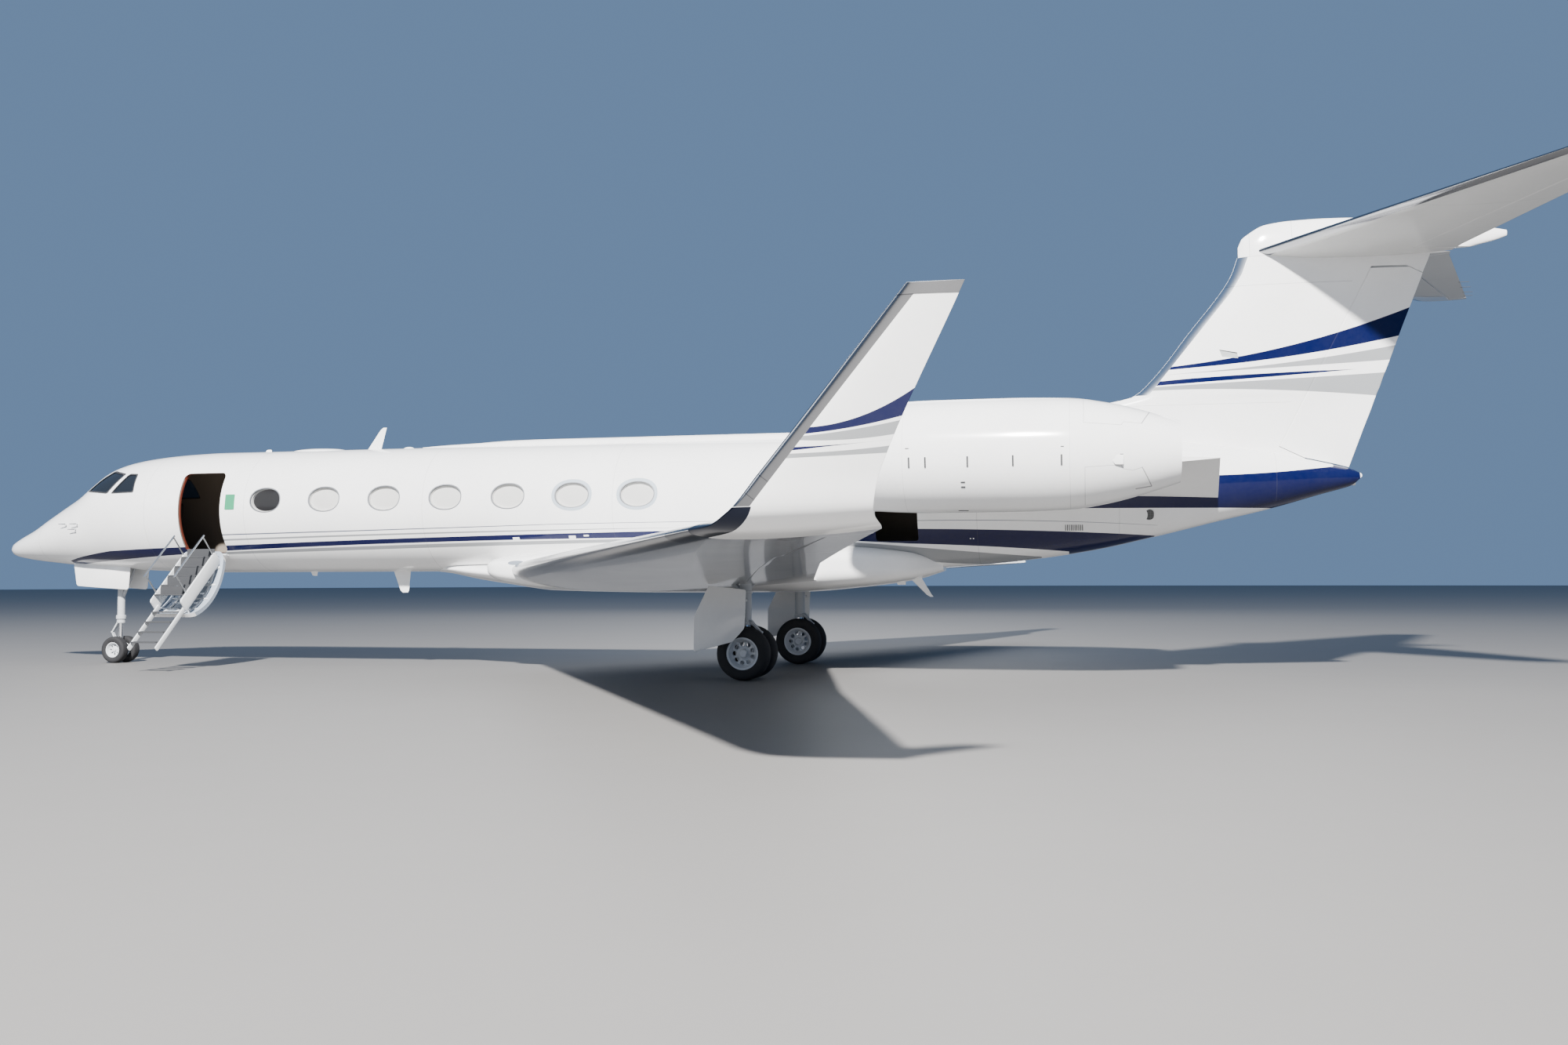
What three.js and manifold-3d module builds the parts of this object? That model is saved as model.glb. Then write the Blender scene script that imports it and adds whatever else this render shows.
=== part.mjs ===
// Business jet, parked on its gear with the airstair and the baggage door open.
// Millimetres. +X is forward, +Y is port, +Z is up; the origin lies on the ground
// under the middle of the overall length, on the centreline.
// A "station" is the distance aft of the nose tip.
import * as THREE from "three";
import { mergeVertices } from "three/addons/utils/BufferGeometryUtils.js";
import Module from "manifold-3d";

const wasm = await Module();
wasm.setup();

// Overall sizes
const LENGTH = 29390;
const HEIGHT = 7870;
const GAP = 0.3;
const PIN_PLAY = 0.9;
const FAR = 20000;

// Fuselage
const WALL = 75;
const FLOOR_HEIGHT = 2200;
const RADOME_END = 1190;
const COCKPIT_END = 6200;
const CABIN_END = 17400;
const AFT_END = 24950;
const FUSELAGE_END = 26340;

// Cabin windows: seven a side
const WINDOW = { count: 7, first: 6650, pitch: 1235, height: 3185, width: 660, tall: 483, corners: 12, power: 0.85 };

// Airstair door
const DOOR = { front: 4780, back: 5690, top: 3740, clearance: 12, openAngle: 137 };

// Undercarriage
const MAIN = { station: 16340, y: 2185, spacing: 530, radius: 444.5, width: 279, rim: 262, axle: 45, sides: 22 };
const NOSE = { station: 2620, spacing: 330, radius: 266.5, width: 184, rim: 150, axle: 26, sides: 18 };

// Engines
const ENGINE = { y: 2350, z: 3620, intake: 18000, fanStation: 18950, fanRadius: 610, blades: 24 };

const X = (station) => LENGTH / 2 - station;
const rad = THREE.MathUtils.degToRad;

// Solids and their booleans
function solid(geometry) {
  const g = geometry.index ? geometry.clone() : mergeVertices(geometry.clone());
  g.deleteAttribute("normal");
  g.deleteAttribute("uv");
  const merged = mergeVertices(g, 1e-2);
  return new wasm.Manifold(
    new wasm.Mesh({
      numProp: 3,
      vertProperties: merged.attributes.position.array,
      triVerts: new Uint32Array(merged.index.array),
    }),
  );
}
function geometryOf(body) {
  const m = body.getMesh();
  const g = new THREE.BufferGeometry();
  const flat = new Float32Array(m.numVert * 3);
  for (let i = 0; i < m.numVert; i++) flat.set(m.vertProperties.subarray(i * m.numProp, i * m.numProp + 3), i * 3);
  g.setAttribute("position", new THREE.BufferAttribute(flat, 3));
  g.setIndex(new THREE.BufferAttribute(m.triVerts, 1));
  g.computeVertexNormals();
  return g;
}
function mirrorY(body) {
  const g = geometryOf(body).scale(1, -1, 1);
  const index = g.index.array;
  for (let i = 0; i < index.length; i += 3) [index[i + 1], index[i + 2]] = [index[i + 2], index[i + 1]];
  return solid(g);
}
const join = (...bodies) => bodies.reduce((a, b) => a.add(b));
const cut = (body, ...tools) => tools.reduce((a, b) => a.subtract(b), body);

// A mapped copy of a geometry: each vertex goes through a function.
function mapped(geometry, move) {
  const p = geometry.attributes.position;
  const v = new THREE.Vector3();
  for (let i = 0; i < p.count; i++) {
    v.fromBufferAttribute(p, i);
    move(v);
    p.setXYZ(i, v.x, v.y, v.z);
  }
  return geometry;
}

// Straight-line reading of a table whose first column is the station.
function read(table, station) {
  let i = 0;
  while (i < table.length - 2 && station > table[i + 1][0]) i++;
  const [a, b] = [table[i], table[i + 1]];
  const t = THREE.MathUtils.clamp((station - a[0]) / (b[0] - a[0]), 0, 1);
  return a.map((value, k) => value + (b[k] - value) * t);
}

// Loft of rounded sections along the station. Rows: station, top, bottom, half width.
// Power 1 gives ellipses, a smaller one fuller corners.
const bulge = (value, power) => Math.sign(value) * Math.abs(value) ** power;
function hullLoft(rows, { grow = 0, segments = 32, power = 1 } = {}) {
  const last = rows.length - 1;
  const g = new THREE.CylinderGeometry(1, 1, 1, segments, last);
  // the facets' diagonals on the starboard half mirror those on the port half
  const index = g.index.array;
  const across = g.attributes.position;
  for (let i = 0; i < segments * last * 6; i += 6) {
    const [a, b, d, , c] = index.slice(i, i + 6);
    if (across.getZ(a) + across.getZ(d) < 0) index.set([a, b, c, a, c, d], i);
  }
  return solid(
    mapped(g, (v) => {
      const [station, top, bottom, half] = rows[Math.round((0.5 - v.y) * last)];
      const [side, up] = [bulge(v.z, power), bulge(v.x, power)];
      v.set(X(station), side * (half + grow), (top + bottom) / 2 + up * ((top - bottom) / 2 + grow));
    }),
  );
}

// Half outline of a wing section: fraction of the chord, fraction of the thickness.
const SECTION = [
  [0, 0],
  [0.012, 0.17],
  [0.05, 0.31],
  [0.15, 0.45],
  [0.35, 0.5],
  [0.6, 0.4],
  [0.8, 0.22],
  [1, 0.02],
];
// Loft of wing sections. Rows: station of the leading edge, y, z, chord, thickness, cant in
// degrees (0 lies flat, 90 stands up), twist in degrees.
function foilLoft(rows) {
  const outline = [...SECTION, ...SECTION.slice(1).map(([u, w]) => [u, -w]).reverse()];
  const shape = new THREE.Shape(outline.map(([u, w]) => new THREE.Vector2(u, w)).reverse());
  const last = rows.length - 1;
  const g = new THREE.ExtrudeGeometry(shape, { depth: 1, steps: last, bevelEnabled: false });
  return solid(
    mapped(g, (v) => {
      const [station, y, z, chord, thick, cant, twist] = rows[Math.round(v.z * last)];
      const [c, t] = [rad(cant), rad(twist || 0)];
      const aft = v.x * chord * Math.cos(t) + v.y * thick * Math.sin(t);
      const up = v.y * thick * Math.cos(t) - v.x * chord * Math.sin(t);
      v.set(X(station + aft), y - up * Math.sin(c), z + up * Math.cos(c));
    }),
  );
}

const boxBetween = (x0, x1, y0, y1, z0, z1) =>
  solid(new THREE.BoxGeometry(x1 - x0, y1 - y0, z1 - z0).translate((x0 + x1) / 2, (y0 + y1) / 2, (z0 + z1) / 2));
// Box by stations: front and back station, then y and z ranges.
const block = (front, back, y0, y1, z0, z1) => boxBetween(X(back), X(front), y0, y1, z0, z1);

// A round bar from one point to another.
function bar(from, to, radius, sides = 16, endRadius = radius) {
  const [a, b] = [new THREE.Vector3(...from), new THREE.Vector3(...to)];
  const g = new THREE.CylinderGeometry(endRadius, radius, a.distanceTo(b), sides);
  g.applyQuaternion(new THREE.Quaternion().setFromUnitVectors(new THREE.Vector3(0, 1, 0), b.clone().sub(a).normalize()));
  g.translate((a.x + b.x) / 2, (a.y + b.y) / 2, (a.z + b.z) / 2);
  return solid(g);
}

// Turned body about a line parallel to Y. Profile rows: radius, distance along the line.
function turnedY(profile, x, y, z, sides = 32) {
  const g = new THREE.LatheGeometry(profile.map(([r, d]) => new THREE.Vector2(r, d)), sides);
  return solid(g.translate(x, y, z));
}
// Turned body about a line parallel to X. Profile rows: station, radius.
function turnedX(profile, y, z, sides = 40) {
  const forward = profile.map(([station, r]) => new THREE.Vector2(r, X(station))).reverse();
  return solid(new THREE.LatheGeometry(forward, sides).rotateZ(-Math.PI / 2).translate(0, y, z));
}

// A flat outline in one plane, extruded across it. Rows of the outline are pairs.
function plate(outline, thickness, place) {
  const shape = new THREE.Shape(outline.map(([a, b]) => new THREE.Vector2(a, b)));
  const g = new THREE.ExtrudeGeometry(shape, { depth: thickness, bevelEnabled: false });
  return solid(g.applyMatrix4(place));
}
// Frame whose first axis is forward-ish, second lies along a hinge line, third is up-ish.
function hingeFrame(from, to, up) {
  const y = new THREE.Vector3(...to).sub(new THREE.Vector3(...from)).normalize();
  const x = new THREE.Vector3().crossVectors(y, new THREE.Vector3(...up)).normalize();
  const z = new THREE.Vector3().crossVectors(x, y);
  return new THREE.Matrix4().makeBasis(x, y, z).setPosition(...from);
}
// Prism along a hinge line: outline in forward and up, from one distance to another.
function hingePrism(outline, frame, from, to) {
  // shape axes: forward, up; extruded along minus the hinge direction
  const turn = new THREE.Matrix4().makeBasis(
    new THREE.Vector3(1, 0, 0),
    new THREE.Vector3(0, 0, 1),
    new THREE.Vector3(0, -1, 0),
  ).setPosition(0, to, 0);
  return plate(outline, to - from, frame.clone().multiply(turn));
}
// Splits a control surface off a wing, fin or stabilizer. A ceiling ends it level at a height.
function splitSurface(parent, from, to, up, { slot = 14, rise = 35, fall = 35, reach = 3000, depth = 700, rod = 7, ceiling = FAR, headroom = 0 }) {
  const [a0, b0] = [new THREE.Vector3(...from), new THREE.Vector3(...to)];
  const length = a0.distanceTo(b0);
  const along = (distance) => a0.clone().lerp(b0, distance / length).toArray();
  const frame = hingeFrame(from, to, up);
  const below = (height) => boxBetween(-FAR, FAR, -FAR, FAR, -FAR, height);
  const room = hingePrism([[slot, -depth], [slot, depth], [-reach, depth], [-reach, -depth]], frame, -slot, length + slot).intersect(below(ceiling));
  const [a, b] = [depth * Math.tan(rad(rise)), depth * Math.tan(rad(fall))];
  const wedge = hingePrism([[0, 0], [-a, depth], [-reach, depth], [-reach, -depth], [-b, -depth]], frame, 0, length);
  const pin = bar(along(-slot - 25), along(length + slot + 25), rod, 8);
  const bore = bar(along(-slot - 26), along(length + slot + 26), rod + PIN_PLAY, 16);
  return [parent.subtract(room).subtract(bore), parent.intersect(wedge).intersect(below(ceiling - headroom)).add(pin)];
}

// Materials: colour, roughness, metalness
const PAINT = [0xf2f3f4, 0.25, 0.0];
const BLUE = [0x1f2f7a, 0.25, 0.0];
const POLISHED = [0xc9ccd0, 0.12, 1.0];
const GREY = [0xb8bcbe, 0.45, 0.2];
const DARK = [0x2b2d30, 0.6, 0.2];
const GLASS = [0x27343f, 0.05, 0.0];
const TYRE = [0x161616, 0.85, 0.0];
const LEATHER = [0xc7b59a, 0.6, 0.0];
const STEEL = [0x8d9094, 0.35, 0.9];

const jet = new THREE.Group();
jet.name = "business_jet";
function add(name, body, [color, roughness, metalness], mirror = false) {
  const mesh = new THREE.Mesh(geometryOf(body), new THREE.MeshStandardMaterial({ color, roughness, metalness }));
  mesh.name = name;
  if (mirror) mesh.scale.y = -1;
  jet.add(mesh);
}
// The same piece on the port side and, mirrored, on the starboard side.
function addPair(name, body, finish) {
  add(name + "_left", body, finish);
  add(name + "_right", body, finish, true);
}

// Fuselage form. Rows: station, top, bottom, half width.
const FORM = [
  [0, 2345, 2275, 35],
  [60, 2420, 2215, 110],
  [200, 2500, 2165, 200],
  [400, 2590, 2125, 310],
  [800, 2765, 2070, 490],
  [1190, 2985, 2030, 640],
  [1600, 3215, 1990, 770],
  [2060, 3480, 1955, 895],
  [2400, 3745, 1930, 965],
  [2740, 3960, 1910, 1025],
  [3200, 4080, 1880, 1090],
  [3800, 4155, 1852, 1145],
  [4400, 4195, 1835, 1178],
  [5100, 4215, 1825, 1195],
  [17400, 4215, 1825, 1195],
  [18600, 4215, 1835, 1190],
  [20000, 4210, 1900, 1150],
  [21000, 4190, 2000, 1075],
  [22000, 4140, 2150, 965],
  [23000, 4050, 2370, 815],
  [24000, 3925, 2615, 640],
  [24950, 3770, 2842, 455],
  [25700, 3605, 3058, 295],
  [26200, 3470, 3200, 165],
  [26340, 3400, 3270, 90],
];
const formBetween = (front, back) => [
  [front, ...read(FORM, front).slice(1)],
  ...FORM.filter(([s]) => s > front + 1 && s < back - 1),
  [back, ...read(FORM, back).slice(1)],
];
const shrink = (rows, wall) => rows.map(([s, top, bottom, half]) => [s, top - wall, bottom + wall, half - wall]);

const skinWhole = hullLoft(FORM, { grow: GAP });
const aboveFloor = boxBetween(-FAR, FAR, -FAR, FAR, FLOOR_HEIGHT, FAR);
const belowFloor = boxBetween(-FAR, FAR, -FAR, FAR, -FAR, FLOOR_HEIGHT - GAP);

add("nose_radome", hullLoft(formBetween(0, RADOME_END - GAP)), PAINT);

// Windscreen: cutters are prisms through the wall, seen from ahead or from the side.
// Front pane outline: y, z. Side pane outlines: station, z.
const FRONT_PANE = [[45, 3530], [560, 3500], [470, 3860], [45, 3915]];
const SIDE_PANES = [
  [[2350, 3440], [3040, 3370], [3310, 3780], [2870, 3865]],
  [[3130, 3370], [3700, 3380], [3630, 3770], [3400, 3780]],
];
const ACROSS = new THREE.Matrix4().makeBasis(
  new THREE.Vector3(-1, 0, 0),
  new THREE.Vector3(0, 0, 1),
  new THREE.Vector3(0, 1, 0),
);
const AHEAD = new THREE.Matrix4().makeBasis(
  new THREE.Vector3(0, 1, 0),
  new THREE.Vector3(0, 0, 1),
  new THREE.Vector3(1, 0, 0),
);
const frontTool = (inset) =>
  plate(FRONT_PANE.map(([y, z]) => [y + Math.sign(300 - y) * inset, z + Math.sign(3700 - z) * inset]), 1080,
    new THREE.Matrix4().makeTranslation(X(2740), 0, 0).multiply(AHEAD));
const PANE_REACH = 120;
const sideTool = (outline, inset) => {
  const [s0, z0] = [0, 1].map((k) => outline.reduce((sum, point) => sum + point[k], 0) / outline.length);
  const share = 1 - inset / PANE_REACH;
  return plate(outline.map(([s, z]) => [s0 + (s - s0) * share, z0 + (z - z0) * share]), 900,
    new THREE.Matrix4().makeTranslation(X(0), 430, 0).multiply(ACROSS));
};

const forwardRows = formBetween(RADOME_END, COCKPIT_END - GAP);
const forwardSkin = hullLoft(forwardRows);
const forwardRoom = hullLoft(shrink(formBetween(RADOME_END + 350, COCKPIT_END + 50), WALL));
const paneTools = [frontTool(0), ...SIDE_PANES.map((p) => sideTool(p, 0))];
const doorway = block(DOOR.front, DOOR.back, 500, 1400, FLOOR_HEIGHT - 1, DOOR.top);
add(
  "cockpit_shell",
  cut(forwardSkin.intersect(aboveFloor), forwardRoom, ...paneTools, ...paneTools.map(mirrorY), doorway),
  PAINT,
);
// Panes lie in the outer part of the wall.
const paneLayer = cut(hullLoft(formBetween(RADOME_END + 400, COCKPIT_END), { grow: -12 }), hullLoft(formBetween(RADOME_END, COCKPIT_END + 50), { grow: -34 }));
addPair("windscreen", paneLayer.intersect(frontTool(GAP)), GLASS);
addPair("cockpit_window_front", paneLayer.intersect(sideTool(SIDE_PANES[0], GAP)), GLASS);
addPair("cockpit_window_rear", paneLayer.intersect(sideTool(SIDE_PANES[1], GAP)), GLASS);

const noseWell = block(1700, 3050, -260, 260, 0, 2120);
const HINGE = { y: 905, z: 2165, pin: 12, lugs: [4840, 5235, 5630], lugWidth: 24 };
const hingeLine = (radius, sides) => bar([X(DOOR.front + 30), HINGE.y, HINGE.z], [X(DOOR.back - 30), HINGE.y, HINGE.z], radius, sides);
const lugs = HINGE.lugs.map((s) => block(s - HINGE.lugWidth / 2, s + HINGE.lugWidth / 2, 815, HINGE.y + 22, HINGE.z - 24, HINGE.z + 22));
add("forward_keel", cut(join(forwardSkin.intersect(belowFloor), ...lugs), noseWell, hingeLine(HINGE.pin + PIN_PLAY, 24)), PAINT);

// Cabin
const windowOutline = (grow) => {
  const [a, b] = [WINDOW.width / 2 + grow, WINDOW.tall / 2 + grow];
  return Array.from({ length: WINDOW.corners }, (_, i) => {
    const t = (i / WINDOW.corners) * 2 * Math.PI;
    return [a * bulge(Math.cos(t), WINDOW.power), b * bulge(Math.sin(t), WINDOW.power)];
  });
};
const windowTool = (i, grow, from, depth) =>
  plate(windowOutline(grow), depth, new THREE.Matrix4().makeTranslation(X(WINDOW.first + i * WINDOW.pitch), from, WINDOW.height).multiply(ACROSS));
const windowIndex = Array.from({ length: WINDOW.count }, (_, i) => i);
const cabinSkin = hullLoft([[COCKPIT_END, 4215, 1825, 1195], [CABIN_END - GAP, 4215, 1825, 1195]]);
const cabinRoom = hullLoft(shrink([[COCKPIT_END - 50, 4215, 1825, 1195], [CABIN_END + 50, 4215, 1825, 1195]], WALL));
const windowTools = windowIndex.map((i) => windowTool(i, 0, 900, 500));
add("cabin_shell", cut(cabinSkin.intersect(aboveFloor), cabinRoom, ...windowTools, ...windowTools.map(mirrorY)), PAINT);
const floorPanel = block(COCKPIT_END + 50, CABIN_END - 50, -740, 740, FLOOR_HEIGHT - 1, FLOOR_HEIGHT + 12);
add("cabin_keel", join(cabinSkin.intersect(belowFloor), floorPanel), PAINT);
// The lining strip carries the window panes of one side as one piece.
const liningBand = cut(
  hullLoft(shrink([[COCKPIT_END + 60, 4215, 1825, 1195], [CABIN_END - 1600, 4215, 1825, 1195]], WALL + GAP)),
  hullLoft(shrink([[COCKPIT_END, 4215, 1825, 1195], [CABIN_END, 4215, 1825, 1195]], WALL + 22)),
).intersect(block(COCKPIT_END + 60, CABIN_END - 1600, 800, 1300, WINDOW.height - 340, WINDOW.height + 340));
const panePlugs = windowIndex.map((i) =>
  windowTool(i, -GAP, 900, 500).intersect(
    cut(
      hullLoft(shrink([[COCKPIT_END + 60, 4215, 1825, 1195], [CABIN_END - 1600, 4215, 1825, 1195]], 28)),
      hullLoft(shrink([[COCKPIT_END, 4215, 1825, 1195], [CABIN_END, 4215, 1825, 1195]], WALL + 20)),
    ),
  ),
);
addPair("cabin_window_strip", join(liningBand, ...panePlugs), GLASS);

// Pilots' seats, instrument panel and the bulkhead behind the cockpit
const seat = join(
  block(2980, 3480, 270, 730, FLOOR_HEIGHT + 300, FLOOR_HEIGHT + 430),
  block(3400, 3520, 280, 720, FLOOR_HEIGHT + 350, FLOOR_HEIGHT + 1130),
  block(3100, 3380, 400, 600, FLOOR_HEIGHT + GAP, FLOOR_HEIGHT + 310),
);
addPair("pilot_seat", seat, LEATHER);
add("instrument_panel", join(block(2350, 2580, -600, 600, 2950, 3270), block(2350, 2480, -150, 150, FLOOR_HEIGHT + GAP, 3000)), DARK);

// Aft fuselage: open to the cabin in front, a floor and a rear bulkhead for the baggage bay,
// and the hollow tail behind it. The baggage door has moved in and up along the wall.
const BAY = { front: 18320, back: 19050, low: 2310, high: 2880, bulkhead: 19700, slab: 75, doorTop: 3450, doorWall: 60 };
const aftSkin = hullLoft(formBetween(CABIN_END, AFT_END - GAP));
const aftRoom = hullLoft(shrink(formBetween(CABIN_END - 50, AFT_END + 50), WALL));
const bayFloor = aftSkin.intersect(block(CABIN_END, BAY.bulkhead, -FAR, FAR, BAY.low - BAY.slab, BAY.low));
const bayEnd = aftSkin.intersect(block(BAY.bulkhead, BAY.bulkhead + BAY.slab, -FAR, FAR, 0, FAR));
const hatch = block(BAY.front, BAY.back, 500, 1400, BAY.low, BAY.high);
add("aft_fuselage", cut(join(cut(aftSkin, aftRoom), bayFloor, bayEnd), hatch), PAINT);
const bagLayer = cut(
  hullLoft(shrink(formBetween(CABIN_END, BAY.bulkhead), WALL + GAP)),
  hullLoft(shrink(formBetween(CABIN_END - 50, BAY.bulkhead + 50), WALL + BAY.doorWall)),
);
add("baggage_door", bagLayer.intersect(block(BAY.front + 10, BAY.back - 10, 500, 1400, BAY.high + 5, BAY.doorTop)), PAINT);
add("tail_cone", cut(hullLoft(formBetween(AFT_END, FUSELAGE_END)), bar([X(26000), 0, 3300], [X(26400), 0, 3285], 105, 16)), BLUE);

// Wing and body fairing
const FAIRING = [
  [10000, 1950, 1800, 300],
  [10500, 2050, 1690, 850],
  [11200, 2180, 1570, 1230],
  [12300, 2270, 1460, 1430],
  [14500, 2310, 1420, 1470],
  [16800, 2310, 1430, 1430],
  [18000, 2260, 1520, 1230],
  [18900, 2170, 1650, 900],
  [19400, 2050, 1800, 300],
];
const fairing = (grow) => hullLoft(FAIRING, { grow, segments: 28, power: 0.6 });

// Rows: station of the leading edge, y, z, chord, thickness, cant, twist
const WING = [
  [11555, 1000, 1830, 5770, 620, 0, 2],
  [11900, 1600, 1840, 5450, 600, 0, 2],
  [14790, 6600, 1960, 3640, 390, 0, 1.3],
  [18570, 13150, 2080, 1640, 160, 0, 0],
];
const WINGLET = [
  [18572, 13150 + GAP, 2080, 1638, 159, 0, 0],
  [18830, 13480, 2100, 1420, 120, 22, 0],
  [19060, 13700, 2210, 1165, 105, 52, 0],
  [19330, 13815, 2490, 965, 95, 75, 0],
  [20560, 14235, 3850, 430, 38, 75, 0],
];
const wingFull = cut(foilLoft(WING), fairing(GAP), skinWhole);
const wingPoint = (y, chordShare) => {
  const rows = WING.map((row) => [row[1], ...row]);
  const [, station, , z, chord, , , twist] = read(rows, y);
  return [X(station + chord * chordShare), y, z - chord * chordShare * Math.sin(rad(twist))];
};
const [wingAil, aileron] = splitSurface(wingFull, wingPoint(9700, 0.76), wingPoint(12700, 0.76), [0, 0, 1], {});
const [wing, flap] = splitSurface(wingAil, wingPoint(2600, 0.78), wingPoint(9600, 0.74), [0, 0, 1], { fall: 48, rise: 20 });
addPair("wing", wing, PAINT);
addPair("aileron", aileron, PAINT);
addPair("flap", flap, PAINT);
addPair("winglet", foilLoft(WINGLET), PAINT);
add("body_fairing", cut(fairing(0), skinWhole), PAINT);

// Engines. Outer and inner profile rows: station, radius.
const COWL_OUTER = [
  [18000, 690],
  [18200, 805],
  [18600, 870],
  [19500, 905],
  [20600, 905],
  [21600, 880],
  [22200, 790],
  [22800, 635],
  [23280, 480],
];
// The inner rows run forward from the nozzle: engine room, hollow of the lip, intake duct.
const COWL_INNER = [
  [23280, 455],
  [22800, 575],
  [22200, 715],
  [21600, 805],
  [20600, 840],
  [19450, 840],
  [19270, 840],
  [18600, 805],
  [18320, 740],
  [18600, 680],
  [19299, 690],
  [19299, 630],
  [18250, 600],
  [18060, 640],
];
const closedRing = (rows) => [...rows, rows[0]];
const cowl = turnedX(closedRing([...COWL_OUTER, ...COWL_INNER]), ENGINE.y, ENGINE.z, 28);
// The core touches the fan's shaft in front, the cowl at its flange, and ends in the tail cone.
const CORE = [
  [19120.6, 0],
  [19120.6, 81],
  [19300, 81],
  [19300, 840],
  [19420, 840],
  [19420, 420],
  [21300, 400],
  [22300, 390],
  [22300, 230],
  [23000, 60],
  [23000, 0],
];
addPair("engine_cowl", cowl, PAINT);
addPair("engine_core", turnedX(CORE.map(([s, r]) => [s, Math.max(0, r - 2 * GAP)]), ENGINE.y, ENGINE.z, 28), STEEL);
const fanHub = turnedX([[18620, 0], [18700, 70], [18850, 160], [18900, 185], [19120, 200], [19120, 0]], ENGINE.y, ENGINE.z, 16);
const blade = (i) => {
  const g = new THREE.BoxGeometry(150, 14, ENGINE.fanRadius - 165);
  g.rotateZ(rad(42));
  g.translate(0, 0, (ENGINE.fanRadius + 165) / 2);
  g.rotateX((i / ENGINE.blades) * 2 * Math.PI);
  g.translate(X(ENGINE.fanStation), ENGINE.y, ENGINE.z);
  return solid(g);
};
addPair("engine_fan", join(fanHub, ...Array.from({ length: ENGINE.blades }, (_, i) => blade(i))), STEEL);

// Pylons: rows as for a wing, lofted from inside the fuselage up to inside the nacelle
const pylonFull = foilLoft([
  [19100, 560, 2990, 4900, 330, 0, 0],
  [19100, 1820, 3600, 4830, 300, 0, 0],
]);
const cowlBlank = turnedX([[COWL_OUTER[0][0], 0], ...COWL_OUTER.map(([s, r]) => [s, r + GAP]), [23280, 0]], ENGINE.y, ENGINE.z, 28);
addPair("pylon", cut(pylonFull, skinWhole, cowlBlank), PAINT);

// Fin, rudder, cap, stabilizer and elevators. The cap stands on the fin from CAP_BASE up.
const FIN = [
  [21000, 0, 3400, 5110, 200, 90],
  [19800, 0, 4150, 6590, 200, 90],
  [20900, 0, 4420, 5595, 220, 90],
  [22290, 0, 4706, 4310, 260, 90],
  [22640, 0, 4780, 3990, 290, 90],
  [22940, 0, 5023, 3780, 320, 90],
  [23640, 0, 5899, 3410, 315, 90],
  [24190, 0, 6605, 3130, 295, 90],
  [24320, 0, 6827, 3080, 290, 90],
  [24445, 0, 7180, 3090, 285, 90],
];
const CAP_BASE = 7120;
const CAP = [
  [24440, 7300, 6940, 20],
  [24470, 7400, 6840, 50],
  [24575, 7500, 6740, 90],
  [24880, 7665, 6575, 130],
  [25280, 7713, 6527, 142],
  [25720, 7724, 6516, 145],
  [26400, 7705, 6535, 130],
  [27200, 7630, 6610, 105],
  [27670, 7560, 6800, 92],
  [28060, 7485, 7100, 72],
  [28500, 7400, 7215, 48],
  [28650, 7365, 7270, 25],
];
const beacon = join(
  bar([X(26900), 0, 7600], [X(26900), 0, 7800], 95, 16, 80),
  bar([X(26900), 0, 7800], [X(26900), 0, HEIGHT], 62, 16, 45),
);
const cap = (grow) => hullLoft(CAP, { grow, segments: 24 }).intersect(boxBetween(-FAR, FAR, -FAR, FAR, CAP_BASE - grow, FAR));
const finFull = cut(foilLoft(FIN), skinWhole, cap(GAP), boxBetween(-FAR, FAR, -FAR, FAR, CAP_BASE - GAP, FAR));
const finThick = foilLoft(FIN.map(([s, y, z, c, t, cant]) => [s - GAP, y, z, c + 2 * GAP, t + 4 * GAP, cant]));
const finBlank = join(finThick, mirrorY(finThick));
const finHinge = [[X(25075), 0, 3870], [X(26685), 0, 7060]];
const [finBody, rudder] = splitSurface(finFull, finHinge[0], finHinge[1], [0, -1, 0], { reach: 2500, depth: 500, ceiling: 6862, headroom: 36 });
add("fin", finBody, PAINT);
add("rudder", cut(rudder, hullLoft(FORM, { grow: 20 })), PAINT);
const STAB = [
  [24720, 60, 7205, 3090, 265, 0, 2.5],
  [24980, 400, 7212, 2900, 255, 0, 2.5],
  [28400, 5300, 7290, 990, 85, 0, 2],
  [28560, 5360, 7290, 800, 45, 0, 2],
];
const stabHalf = cut(foilLoft(STAB), cap(GAP), finBlank);
const [stab, elevator] = splitSurface(stabHalf, [X(27137), 470, 7120], [X(29055), 5180, 7261], [0, 0, 1], {});
addPair("stabilizer", stab, PAINT);
addPair("elevator", elevator, PAINT);
add("fin_cap", join(cap(0), beacon), PAINT);

// Long low fairing on top of the fuselage
const DORSAL = [
  [9300, 4232, 4100, 40],
  [9800, 4262, 4100, 90],
  [10600, 4292, 4100, 125],
  [11000, 4318, 4100, 140],
  [12000, 4330, 4100, 150],
  [18500, 4330, 4100, 150],
  [19750, 4290, 4100, 120],
];
add("dorsal_fairing", cut(hullLoft(DORSAL, { segments: 16 }), skinWhole), PAINT);

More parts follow.
